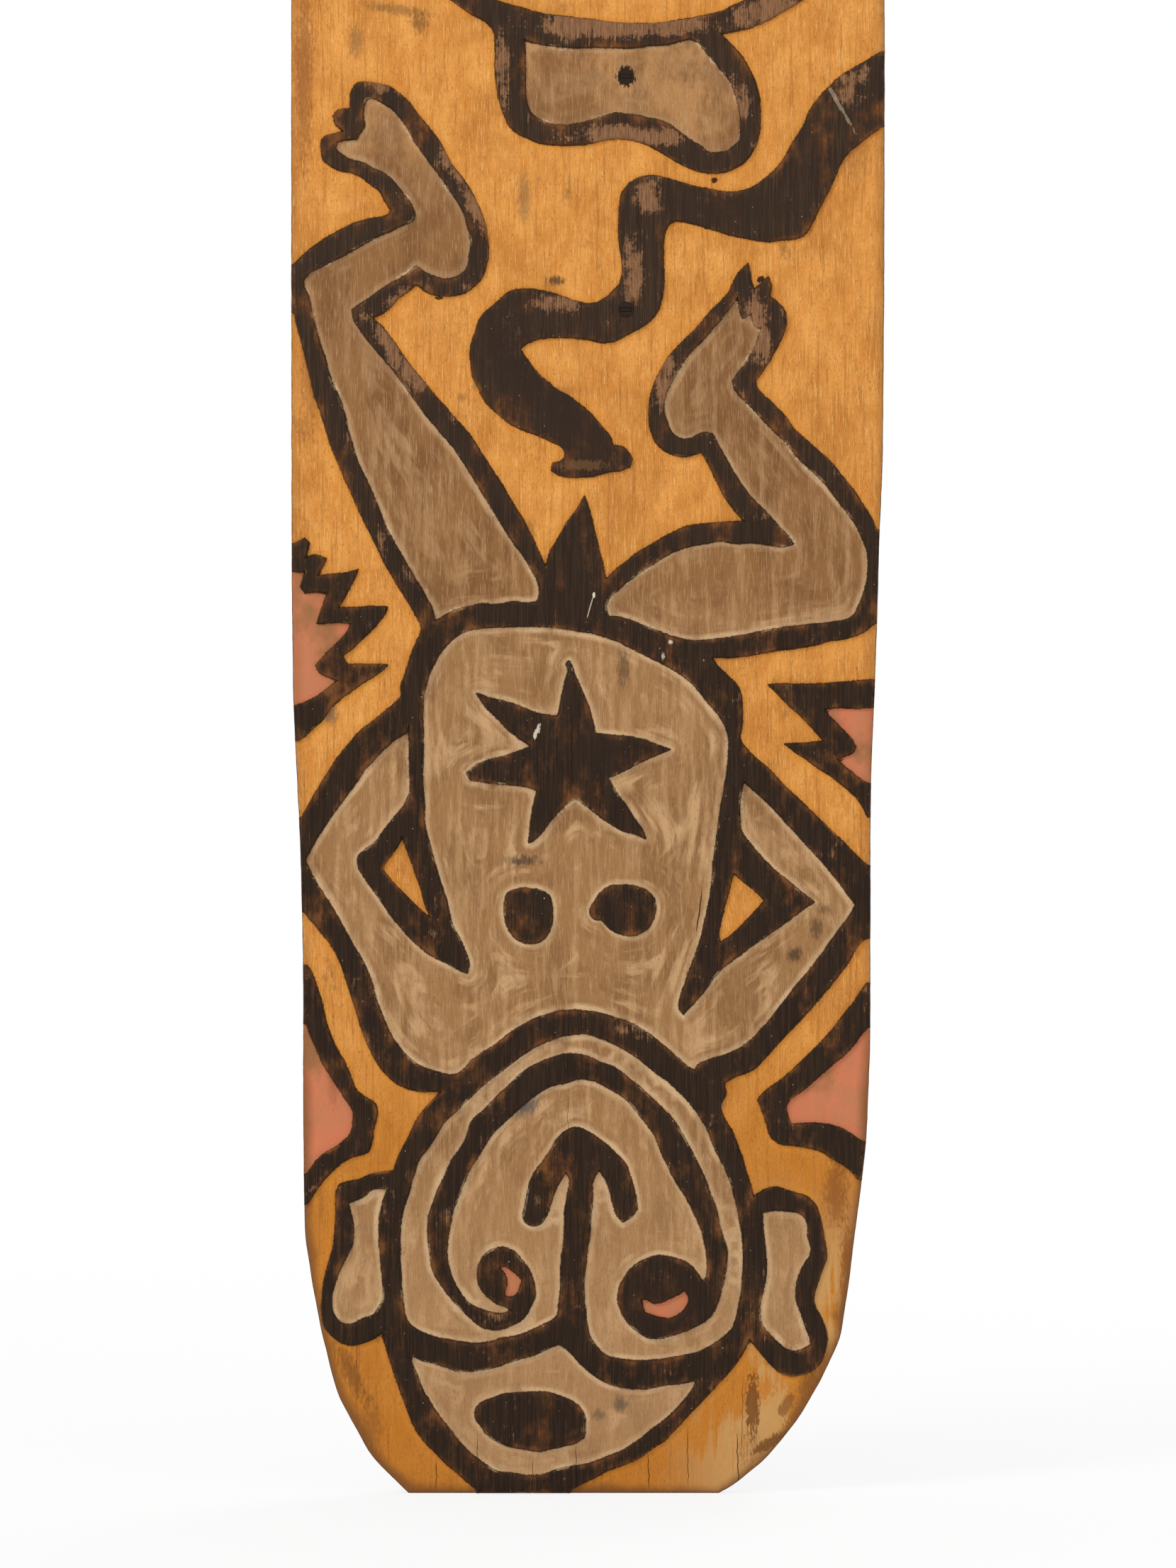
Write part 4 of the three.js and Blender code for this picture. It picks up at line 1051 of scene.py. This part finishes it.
@dataclass
class Sheet:
    """A flat triangulation of the front.

    Attributes:
        points: (x, z) in millimetres.
        triangles: corner numbers, anticlockwise as seen.
        paints: the paint of each triangle, or none where a band stands.
    """

    points: np.ndarray
    triangles: np.ndarray
    paints: list[Paint | None]

    @classmethod
    def make(cls, carving: Carving, rings: Pair, pitch: float) -> "Sheet":
        """Triangulates the plank with every outline in it.

        Args:
            carving: the outlines.
            rings: distances from the outlines at which more points lie: left of them if positive.
            pitch: spacing of the points elsewhere.

        Returns:
            The sheet.
        """
        loops = [carving.outline] + carving.holes + carving.fields
        points: list[Vector] = []
        faces: list[list[int]] = []
        for loop in loops:
            order = loop if signed_area(loop) > 0 else loop[::-1]
            faces.append(list(range(len(points), len(points) + len(order))))
            points.extend(Vector((float(x), float(z))) for x, z in order)
        points.extend(cls.filling(carving, rings, pitch))
        result = delaunay_2d_cdt(points, [], faces, 0, 1e-4, True)
        areas = [abs(signed_area(loop)) for loop in loops]
        first = 1 + len(carving.holes)
        triangles, paints = [], []
        for corners, covers in zip(result[2], result[5]):
            if 0 not in covers or any(hole in covers for hole in range(1, first)):
                continue
            over = [cover for cover in covers if cover >= first]
            smallest = min(over, key=lambda cover: areas[cover]) if over else None
            triangles.append(corners)
            paints.append(carving.paints[smallest - first] if len(over) % 2 else None)
        return cls(np.array([(p.x, p.y) for p in result[0]]), np.array(triangles), paints)

    @staticmethod
    def filling(carving: Carving, rings: Pair, pitch: float) -> list[Vector]:
        """Spreads points along the outlines and over the rest of the plank.

        Args:
            carving: the outlines.
            rings: distances from the outlines.
            pitch: spacing elsewhere.

        Returns:
            The points.
        """
        half_width, lowest, wide_ring, ring_room = 230.0, 2.0, 1.2, 0.86
        row_pitch = pitch * 0.87
        near = Nearest.of(carving.fields + [carving.outline])
        points = []
        for number, loop in enumerate([carving.outline] + carving.fields):
            left = left_of(loop)
            for ring in rings:
                reach = abs(ring) if number == 0 else ring
                skip = 2 if abs(ring) > wide_ring else 1
                for x, z in loop[::skip] + left[::skip] * reach:
                    if near.distance(x, z) > abs(ring) * ring_room:
                        points.append(Vector((float(x), float(z))))
        clear = max(abs(ring) for ring in rings) + pitch * 0.35
        for row, z in enumerate(np.arange(lowest, carving.outline[:, 1].max(), row_pitch)):
            for x in np.arange(-half_width + (row % 2) * pitch / 2, half_width, pitch):
                if near.distance(x, z) > clear:
                    points.append(Vector((float(x), float(z))))
        return points

    def part(self, keep: np.ndarray) -> tuple[np.ndarray, np.ndarray]:
        """Takes some of the triangles, as their points and their corners among those."""
        used, index = np.unique(self.triangles[keep], return_inverse=True)
        return self.points[used], index.reshape(-1, 3)

    def painted(self) -> Nearest:
        """Keeps where each paint lies, so that the floor under a band takes the nearest one."""
        known = [(t, paint) for t, paint in zip(self.triangles, self.paints) if paint is not None]
        return Nearest([self.points[t].mean(axis=0) for t, _ in known], [paint for _, paint in known])


# Making solids


def activate(piece: bpy.types.Object) -> None:
    """Selects one object alone and makes it active.

    Args:
        piece: the object.
    """
    bpy.ops.object.select_all(action="DESELECT")
    piece.select_set(True)
    bpy.context.view_layer.objects.active = piece


def added(name: str, data: bpy.types.Mesh | bpy.types.Curve) -> bpy.types.Object:
    """Adds an object to the scene, selected alone.

    Args:
        name: object name.
        data: its mesh or curve.

    Returns:
        The object.
    """
    piece = bpy.data.objects.new(name, data)
    bpy.context.scene.collection.objects.link(piece)
    activate(piece)
    return piece


def edited(*steps: Callable[[], object]) -> None:
    """Runs operators one by one in edit mode, on all of the active piece."""
    bpy.ops.object.mode_set(mode="EDIT")
    for step in steps:
        bpy.ops.mesh.select_all(action="SELECT")
        step()
    bpy.ops.object.mode_set(mode="OBJECT")


def smooth_by_angle(piece: bpy.types.Object, degrees: float) -> None:
    """Shades a piece smooth, with sharp edges where it turns by more than so many degrees."""
    activate(piece)
    bpy.ops.object.shade_smooth_by_angle(angle=math.radians(degrees))


# The last step in edit mode: all faces are turned outwards
FACE_OUT = partial(bpy.ops.mesh.normals_make_consistent, inside=False)


def rounded(distance: float, radius: float) -> float:
    """Gives how far a surface has dropped at a distance from its rounded edge.

    Args:
        distance: distance from the edge.
        radius: radius of the rounding.

    Returns:
        The drop, in the same unit.
    """
    if distance >= radius:
        return 0.0
    return radius - math.sqrt(max(radius**2 - (radius - distance) ** 2, 0.0))


def roll(x: float, z: float, scale: Pair, layer: float) -> float:
    """Gives the slow roll of a hand-worked surface, about 0."""
    return noise.noise(Vector((x * scale[0], z * scale[1], layer)))


def store(mesh: bpy.types.Mesh, layers: dict[str, np.ndarray]) -> None:
    """Keeps numbers on a mesh's points, by name, for its material to read."""
    for name, values in layers.items():
        mesh.attributes.new(name, "FLOAT", "POINT").data.foreach_set("value", values.astype(np.float32))


def settle(piece: bpy.types.Object, body: str, node: str, slot: str, *materials: bpy.types.Material) -> None:
    """Gives a piece its materials and ties it to the frame.

    Args:
        piece: the piece.
        body: body that it rides on.
        node: node that it stands for.
        slot: material slot, not used.
        materials: its materials, in the order that its faces count them.
    """
    for material in materials:
        piece.data.materials.append(material)
    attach(piece, body)
    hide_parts(node)
    piece.data.calc_loop_triangles()
    LOG.info("%s for %s: %d triangles", piece.name, node, len(piece.data.loop_triangles))


@dataclass
class Plank:
    """The plank: a painted core with the raised bands on it.

    Attributes:
        relief: levels and outlines of the frame.
        carving: the outlines as cut by hand.
        band_round: rounding of the bands' edges, in millimetres.
        rim_round: rounding of the bands where they end at the plank's edge.
        floor_round: rounding of the core's front edge.
        back_round: rounding of its back edge.
        bare_rim: width of the rim that has lost its paint.
        dip: height of the floor's roll.
        swell: height of the bands' roll.
        scoop: depth of the adze marks on the back.
        mark: width and length of one adze mark.
        sunk: how far the bands reach into the core.
        flare: how far a band's foot spreads.
        fields_near: nearness to the fields' outlines.
        rim_near: nearness to the plank's outline.
        outward: the way out into the field, kept with each point of its outline.
    """

    relief: FrameRelief
    carving: Carving
    band_round: float = 1.1
    rim_round: float = 2.4
    floor_round: float = 1.3
    back_round: float = 3.4
    bare_rim: float = 2.5
    dip: float = 0.3
    swell: float = 0.28
    scoop: float = 0.9
    mark: Pair = (30.0, 75.0)
    sunk: float = 1.4
    flare: float = 0.75
    fields_near: Nearest = field(init=False)
    rim_near: Nearest = field(init=False)
    outward: Nearest = field(init=False)

    def __post_init__(self) -> None:
        """Prepares the distances and the ways out into the fields."""
        fields = self.carving.fields
        self.fields_near = Nearest.of(fields)
        self.rim_near = Nearest.of([self.carving.outline])
        self.outward = Nearest(np.vstack(fields), list(np.vstack([left_of(loop) for loop in fields])))

    def dress(self) -> None:
        """Builds the core and the bands, each with its finishes."""
        bare = BareHardwood("bare_hardwood").make()
        settle(self.core(), "shield", "board", "plank_wood", PaintedFields().make(), bare)
        settle(self.bands(), "shield", "board", "plank_wood", BlackenedBands("blackened_bands").make())

    @staticmethod
    def extruded(name: str, sheet: Sheet, keep: np.ndarray, level: float, depth: float) -> bpy.types.Object:
        """Extrudes part of a sheet into a closed solid.

        Args:
            name: object name.
            sheet: the sheet.
            keep: which of its triangles.
            level: its depth in the plank, in millimetres.
            depth: how far it is extruded towards the back.

        Returns:
            The solid.
        """
        points, triangles = sheet.part(keep)
        mesh = bpy.data.meshes.new(name)
        mesh.from_pydata([(x * MM, level * MM, z * MM) for x, z in points], [], triangles.tolist())
        piece = added(name, mesh)
        back = {"value": (0.0, depth * MM, 0.0)}
        edited(partial(bpy.ops.mesh.extrude_region_move, TRANSFORM_OT_translate=back), FACE_OUT)
        return piece

    def core(self) -> bpy.types.Object:
        """Makes the core: the fields' floor in front, the sides, and the adzed back.

        Returns:
            The core.
        """
        rings, pitch, skin = (1.1, 3.2), 6.5, 1.5
        all_bare, dip_in, rim_clear, rim_fade, least_cut = 0.8, 6.0, 3.0, 12.0, 0.1
        sheet = Sheet.make(self.carving, rings, pitch)
        everywhere = np.ones(len(sheet.triangles), dtype=bool)
        floor, back = self.relief.floor, self.relief.back
        piece = self.extruded("plank_core", sheet, everywhere, floor, back - floor)
        mesh, painted = piece.data, sheet.painted()
        names = ("Edge", "Rim", "Grey", "Red", "Bare", "Ridge")
        layers = {name: np.zeros(len(mesh.vertices)) for name in names}
        for number, vertex in enumerate(mesh.vertices):
            x, _, z = (value / MM for value in vertex.co)
            rim = layers["Rim"][number] = self.rim_near.distance(x, z)
            if vertex.co.y < 0:
                paint = painted.note(x, z)
                layers["Edge"][number] = self.fields_near.distance(x, z)
                layers["Grey"][number] = paint is Paint.GREY
                layers["Red"][number] = paint is Paint.RED
                layers["Bare"][number] = max(0.0, all_bare - rim / self.bare_rim)
                dip = roll(x, z, (0.035, 0.02), 3.0) * self.dip * min(rim / dip_in, 1.0)
                vertex.co.y += (rounded(rim, self.floor_round) + dip) * MM
            else:
                scoop, ridge = self.adzed(x, z)
                flat = min(max((rim - rim_clear) / rim_fade, 0.0), 1.0)
                layers["Ridge"][number] = ridge * flat
                cut = (scoop * self.scoop + least_cut) * flat
                vertex.co.y -= (rounded(rim, self.back_round) + cut) * MM
        for polygon in mesh.polygons:
            polygon.material_index = int(polygon.center.y > (floor + skin) * MM)
        store(mesh, layers)
        smooth_by_angle(piece, 50)
        return piece

    def adzed(self, x: float, z: float) -> Pair:
        """Gives the adze marks at a place on the back.

        Args:
            x: place across.
            z: place up.

        Returns:
            How deep in its mark the place is, and how near the ridge between two marks, both up to 1.
        """
        bowl, ridge = 0.8, 0.12
        near = noise.voronoi(Vector((x / self.mark[0], z / self.mark[1], 0.0)))[0]
        return max(0.0, 1.0 - (near[0] / bowl) ** 2), max(0.0, 1.0 - (near[1] - near[0]) / ridge)

    def bands(self) -> bpy.types.Object:
        """Makes the raised bands, with rounded tops and a spread foot.

        Returns:
            The piece.
        """
        rings, pitch, at_edge = (-0.55, -1.5), 4.0, 0.3
        swell_in, worn_down = 4.0, 0.12
        sheet = Sheet.make(self.carving, rings, pitch)
        standing = np.array([paint is None for paint in sheet.paints])
        front, floor = self.relief.front, self.relief.floor
        piece = self.extruded("raised_bands", sheet, standing, front, floor + self.sunk - front)
        mesh, painted = piece.data, sheet.painted()
        middle = (front + floor) / 2 * MM
        edges, greys = np.zeros(len(mesh.vertices)), np.zeros(len(mesh.vertices))
        for number, vertex in enumerate(mesh.vertices):
            x, _, z = (value / MM for value in vertex.co)
            distance, rim = self.fields_near.distance(x, z), self.rim_near.distance(x, z)
            edges[number] = min(distance, rim)
            greys[number] = painted.note(x, z) is Paint.GREY
            if vertex.co.y < middle:
                drop = max(rounded(distance, self.band_round), rounded(rim, self.rim_round))
                swell = roll(x, z, (0.05, 0.018), 5.0) * self.swell + worn_down
                vertex.co.y += (drop + swell * min(min(distance, rim) / swell_in, 1.0)) * MM
            elif distance < at_edge and rim > 1.0:
                reach = self.flare * (0.7 + 0.6 * roll(x, z, (0.3, 0.3), 2.0))
                out = self.outward.note(x, z)
                vertex.co.xz = (x + out[0] * reach) * MM, (z + out[1] * reach) * MM
            elif rim < at_edge:
                vertex.co.x -= math.copysign(at_edge * MM, x)
        store(mesh, {"Edge": edges, "Grey": greys})
        smooth_by_angle(piece, 60)
        return piece


# The grip


@dataclass
class SoftenedNode:
    """A small hardwood piece: the frame's own shape with its edges eased.

    Attributes:
        name: object name.
        node: name of the frame's node.
        source: that node.
        ease: width of the eased edges, in metres.
    """

    name: str
    node: str
    source: bpy.types.Object
    ease: float

    def build(self) -> bpy.types.Object:
        """Copies the node and eases its edges.

        Returns:
            The piece.
        """
        mesh = self.source.data.copy()
        mesh.materials.clear()
        piece = added(self.name, mesh)
        edited(
            partial(bpy.ops.mesh.remove_doubles, threshold=1e-6),
            partial(bpy.ops.mesh.dissolve_limited, angle_limit=math.radians(2)),
        )
        bevel = piece.modifiers.new("ease", "BEVEL")
        bevel.width = self.ease
        bevel.segments = 3
        bevel.limit_method = "ANGLE"
        bevel.angle_limit = math.radians(40)
        bevel.use_clamp_overlap = True
        bpy.ops.object.modifier_apply(modifier=bevel.name)
        weld = partial(bpy.ops.mesh.remove_doubles, threshold=2e-6)
        edited(bpy.ops.mesh.quads_convert_to_tris, weld, FACE_OUT)
        smooth_by_angle(piece, 35)
        return piece

    def dress(self, slot: str, material: bpy.types.Material) -> None:
        """Builds the piece and gives it its finish."""
        settle(self.build(), "shield", self.node, slot, material)


@dataclass
class Rod:
    """A round rod or cord that follows points.

    Attributes:
        name: object name.
        points: the line it follows, in metres.
        radii: its radius at each point.
        fineness: how finely its section is rounded, as a curve's bevel counts it.
    """

    name: str
    points: list[Vector]
    radii: list[float]
    fineness: int

    def build(self) -> bpy.types.Object:
        """Sweeps the rod and closes its ends.

        Returns:
            The piece.
        """
        curve = bpy.data.curves.new(self.name, "CURVE")
        curve.dimensions = "3D"
        curve.bevel_depth = 1.0
        curve.bevel_resolution = self.fineness
        curve.use_fill_caps = True
        spline = curve.splines.new("POLY")
        spline.points.add(len(self.points) - 1)
        for target, place, radius in zip(spline.points, self.points, self.radii):
            target.co = (*place, 1.0)
            target.radius = radius
        added(self.name, curve)
        bpy.ops.object.convert(target="MESH")
        piece = bpy.context.view_layer.objects.active
        edited(partial(bpy.ops.mesh.remove_doubles, threshold=1e-7), FACE_OUT)
        smooth_by_angle(piece, 50)
        return piece


@dataclass
class Grip:
    """The swinging cane bow with its windings. All sizes are in metres.

    Attributes:
        axis: (x, y) of the eyes' common axis.
        reach: how far the hand part stands off that axis.
        eyes: heights of the two eyes' middles, lower first.
        lug_half: half the height of a lug.
        cane: radius of the cane.
        stub: how far the cane stands out beyond its eye.
        bend: height of each bend.
        knots: how far the cane's joints are below the lower bend and above the upper one.
        knot: half the length of a joint.
        tip: length of the eased ends.
        strand: radius of the cord and of the split cane.
    """

    axis: Pair
    reach: float
    eyes: Pair
    lug_half: float
    cane: float
    stub: float
    bend: float = 0.026
    knots: Pair = (0.031, 0.017)
    knot: float = 0.0022
    tip: float = 0.002
    strand: float = 0.0009

    @classmethod
    def measured(cls, joint: Triple, tenons: list[Pair]) -> "Grip":
        """Takes the sizes from the frame.

        Args:
            joint: a point of the hinge's axis.
            tenons: middles of the upper and the lower tenon, in millimetres.

        Returns:
            The grip.
        """
        low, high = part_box("grip_bow")
        cane = (high.x - low.x) / 2
        eyes = (tenons[1][1] * MM, tenons[0][1] * MM)
        lug_low, lug_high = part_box("upper_lug")
        lug_half = (lug_high.z - lug_low.z) / 2
        stub = high.z - eyes[1] - lug_half
        return cls((joint[0], joint[1]), high.y - cane - joint[1], eyes, lug_half, cane, stub)

    def dress(self) -> None:
        """Builds the bow and its windings, each with its finish."""
        settle(self.bow(), "grip", "grip_bow", "cane", CANE.make())
        wrap = self.winding("cane_wrap", "grip_wrap", self.reach)
        settle(wrap, "grip", "grip_wrap", "split_cane", SPLIT_CANE.make())
        cord = CORD.make()
        for level in ("upper", "lower"):
            node = f"{level}_whipping"
            whipping = self.winding(f"{level}_cord", node, 0.0, self.cane + self.strand * 0.9)
            settle(whipping, "grip", node, "cord", cord)

    def at(self, reach: float, z: float) -> Vector:
        """Gives the point of the bow's plane at a distance behind the axis and at a height."""
        return Vector((self.axis[0], self.axis[1] + reach, z))

    def bow(self) -> bpy.types.Object:
        """Makes the bent cane, with the knots of its joints.

        Returns:
            The bow.
        """
        tip_steps, eye_steps, bend_steps, hand_steps = 3, 12, 18, 24
        blunt, bluntest, slim, swollen = 0.0012, 0.3, 0.975, 0.1
        low, high = self.eyes[0] + self.lug_half, self.eyes[1] - self.lug_half
        top, eased = self.eyes[1] + self.lug_half + self.stub, self.tip * tip_steps
        line = [self.at(0, top - step * self.tip) for step in range(tip_steps)]
        for step in range(eye_steps):
            line.append(self.at(0, top - eased - step / eye_steps * (self.stub + self.lug_half * 2 - eased)))
        head = len(line)
        line.extend(self.bent(step / bend_steps, high) for step in range(bend_steps + 1))
        straight = high - low - self.bend * 2
        for step in range(1, hand_steps):
            line.append(self.at(self.reach, high - self.bend - straight * step / hand_steps))
        total = high + low
        for step in range(bend_steps + 1):
            line.append(self.mirrored(self.bent(1 - step / bend_steps, high), total))
        line.extend(reversed([self.mirrored(point, total) for point in line[:head]]))
        joints = (low - self.knots[0], high + self.knots[1])
        radii = []
        for point in line:
            knots = sum(math.exp(-(((point.z - joint) / self.knot) ** 2)) for joint in joints)
            end = min(1.0, (top - point.z + blunt) / self.tip,
                      (point.z - self.eyes[0] + self.lug_half + self.stub + blunt) / self.tip)
            radii.append(self.cane * (slim + swollen * knots) * math.sqrt(max(end, bluntest)))
        return Rod("cane_bow", line, radii, 5).build()

    def bent(self, share: float, top: float) -> Vector:
        """Gives a point of the upper bend.

        Args:
            share: how far along the bend, from the eye.
            top: height where it starts.

        Returns:
            The point.
        """
        back = 1 - share
        reach = self.reach * (3 * back * share**2 + share**3)
        drop = self.bend * (1.5 * back**2 * share + 1.5 * back * share**2 + share**3)
        return self.at(reach, top - drop)

    @staticmethod
    def mirrored(point: Vector, total: float) -> Vector:
        """Turns a point upside down, about half of a total height."""
        return Vector((point.x, point.y, total - point.z))

    def winding(self, name: str, node: str, reach: float, *inner: float) -> bpy.types.Object:
        """Winds a strand round a straight stretch of the bow, up and down again for each layer.

        Args:
            name: object name.
            node: name of the frame's node whose space it fills.
            reach: distance of the stretch behind the axis.
            inner: for each layer under the outermost, how far its strand is from the cane's middle.

        Returns:
            The winding.
        """
        turn_steps, pitch, wobble, wobble_pace = 28, self.strand * 2.04, 0.025, 0.37
        low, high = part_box(node)
        length = high.z - low.z - self.strand * 2
        total = max(1, int(length / pitch)) * turn_steps
        points, radii = [], []
        for layer, lift in enumerate((*inner, (high.x - low.x) / 2 - self.strand)):
            for step in range(total + 1):
                angle = (layer * total + step) / turn_steps * 2 * math.pi
                share = step / total if layer % 2 == 0 else 1 - step / total
                middle = self.at(reach, low.z + self.strand + length * share)
                points.append(middle + Vector((math.cos(angle), math.sin(angle), 0)) * lift)
                radii.append(self.strand * (1 + wobble * math.sin(step * wobble_pace)))
        return Rod(name, points, radii, 2).build()


# Camera, light and ground


@dataclass
class Studio:
    """The plain white surroundings and the straight-on camera.

    Attributes:
        scale: how many millimetres one of the picture's points stands for.
        rows: the picture's height in points.
        foot_row: the point row of the plank's foot.
        distance: camera's distance from the carved front, in metres.
        aim: where the lamps point.
        world_light: how bright the white world is as a light.
        floor_tone: the floor's own tone.
        floor_glow: share of white that the eye adds to the floor near the shield.
        fading: how near and how far the floor fades from that share to all white.
    """

    scale: float = 0.45 / 0.836
    rows: int = 2212
    foot_row: int = 2107
    distance: float = 4.6
    aim: Triple = (0.0, 0.0, 0.7)
    world_light: float = 0.62
    floor_tone: float = 0.96
    floor_glow: float = 0.82
    fading: Pair = (0.4, 2.6)

    def camera(self, front: float) -> None:
        """Sets the camera.

        Args:
            front: depth of the carved front, in metres.
        """
        film = 36.0
        data = bpy.data.cameras.new("camera")
        data.sensor_fit = "VERTICAL"
        data.sensor_height = film
        data.lens = film * self.distance / (self.rows * self.scale * MM)
        data.clip_end = 50
        camera = bpy.data.objects.new("camera", data)
        camera.location = (0.0, front - self.distance, (self.foot_row - self.rows / 2) * self.scale * MM)
        camera.rotation_euler = (math.radians(90), 0.0, 0.0)
        bpy.context.scene.collection.objects.link(camera)
        bpy.context.scene.camera = camera

    def lamp(self, name: str, place: Triple, size: float, power: float) -> None:
        """Adds a soft lamp that faces the shield's middle.

        Args:
            name: lamp name.
            place: where it stands.
            size: side of its square.
            power: watts.
        """
        data = bpy.data.lights.new(name, "AREA")
        data.shape = "SQUARE"
        data.size = size
        data.energy = power
        lamp = bpy.data.objects.new(name, data)
        lamp.location = place
        lamp.rotation_euler = (Vector(self.aim) - Vector(place)).to_track_quat("-Z", "Y").to_euler()
        bpy.context.scene.collection.objects.link(lamp)

    def world(self) -> None:
        """Makes the world white to the eye and softer as a light."""
        world = bpy.data.worlds.new("white")
        graph = Graph(world)
        levels = {"Value": graph.looked_at(), "To Min": self.world_light, "To Max": 1.0}
        strength = graph.value("MapRange", levels, "Result")
        graph.join(graph.nodes["Background"], {"Color": (1.0, 1.0, 1.0, 1.0), "Strength": strength})
        bpy.context.scene.world = world

    def floor(self) -> bpy.types.Object:
        """Lays the pale floor, which keeps the shield's shadow and fades to white farther off.

        Returns:
            The floor.
        """
        side, sunk = 14.0, 0.0005
        bpy.ops.mesh.primitive_plane_add(size=side, location=(0.0, 0.0, -sunk))
        floor = bpy.context.view_layer.objects.active
        floor.name = "floor"
        material = bpy.data.materials.new("pale_floor")
        graph = Graph(material)
        shader = graph.nodes["Principled BSDF"]
        tone = (*[self.floor_tone] * 3, 1.0)
        graph.join(shader, {"Base Color": tone, "Roughness": 0.9, "Specular IOR Level": 0.0})
        away = graph.vector("LENGTH", graph.value("TexCoord", {}, "Object"))
        near, far = self.fading
        fading = {"Value": away, "From Min": near, "From Max": far, "To Min": self.floor_glow}
        share = graph.looked_at() * graph.value("MapRange", fading, "Result")
        glow = graph.value("Emission", {})
        blend = graph.value("MixShader", {"Fac": share, 1: Value(graph, shader.outputs[0]), 2: glow})
        graph.join(graph.nodes["Material Output"], {"Surface": blend})
        floor.data.materials.append(material)
        return floor


def main() -> None:
    """Builds the whole scene."""
    logging.basicConfig(level=logging.INFO, format="%(name)s: %(message)s")
    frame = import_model()
    nodes = frame["nodes"]
    bpy.context.scene.view_settings.view_transform = "Standard"

    studio = Studio()
    studio.camera(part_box("board")[0].y)
    studio.world()
    studio.lamp("key", (-2.4, -2.6, 3.2), size=1.2, power=66.0)
    studio.lamp("fill", (2.6, -3.2, 1.2), size=2.4, power=16.0)
    studio.lamp("rear", (1.8, 3.2, 2.6), size=1.6, power=46.0)
    studio.floor()

    tenons = []
    for name in ("upper_lug", "lower_lug"):
        low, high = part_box(name)
        tenons.append(((low.x + high.x) / 2 / MM, (low.z + high.z) / 2 / MM))
    relief = FrameRelief.read(nodes["board"], tenons)
    Plank(relief, Carving.read(relief, tenons)).dress()

    hardwood, wedge_wood = HARDWOOD.make(), WEDGE_WOOD.make()
    for level in ("upper", "lower"):
        lug, wedge = (nodes[f"{level}_{kind}"] for kind in ("lug", "wedge"))
        SoftenedNode(f"{level}_eye_lug", f"{level}_lug", lug, ease=0.0012).dress("lug_wood", hardwood)
        driven = SoftenedNode(f"{level}_driven_wedge", f"{level}_wedge", wedge, ease=0.0002)
        driven.dress("wedge_wood", wedge_wood)

    Grip.measured(frame["joints"][0]["pos_m"], tenons).dress()


if __name__ == "__main__":
    main()
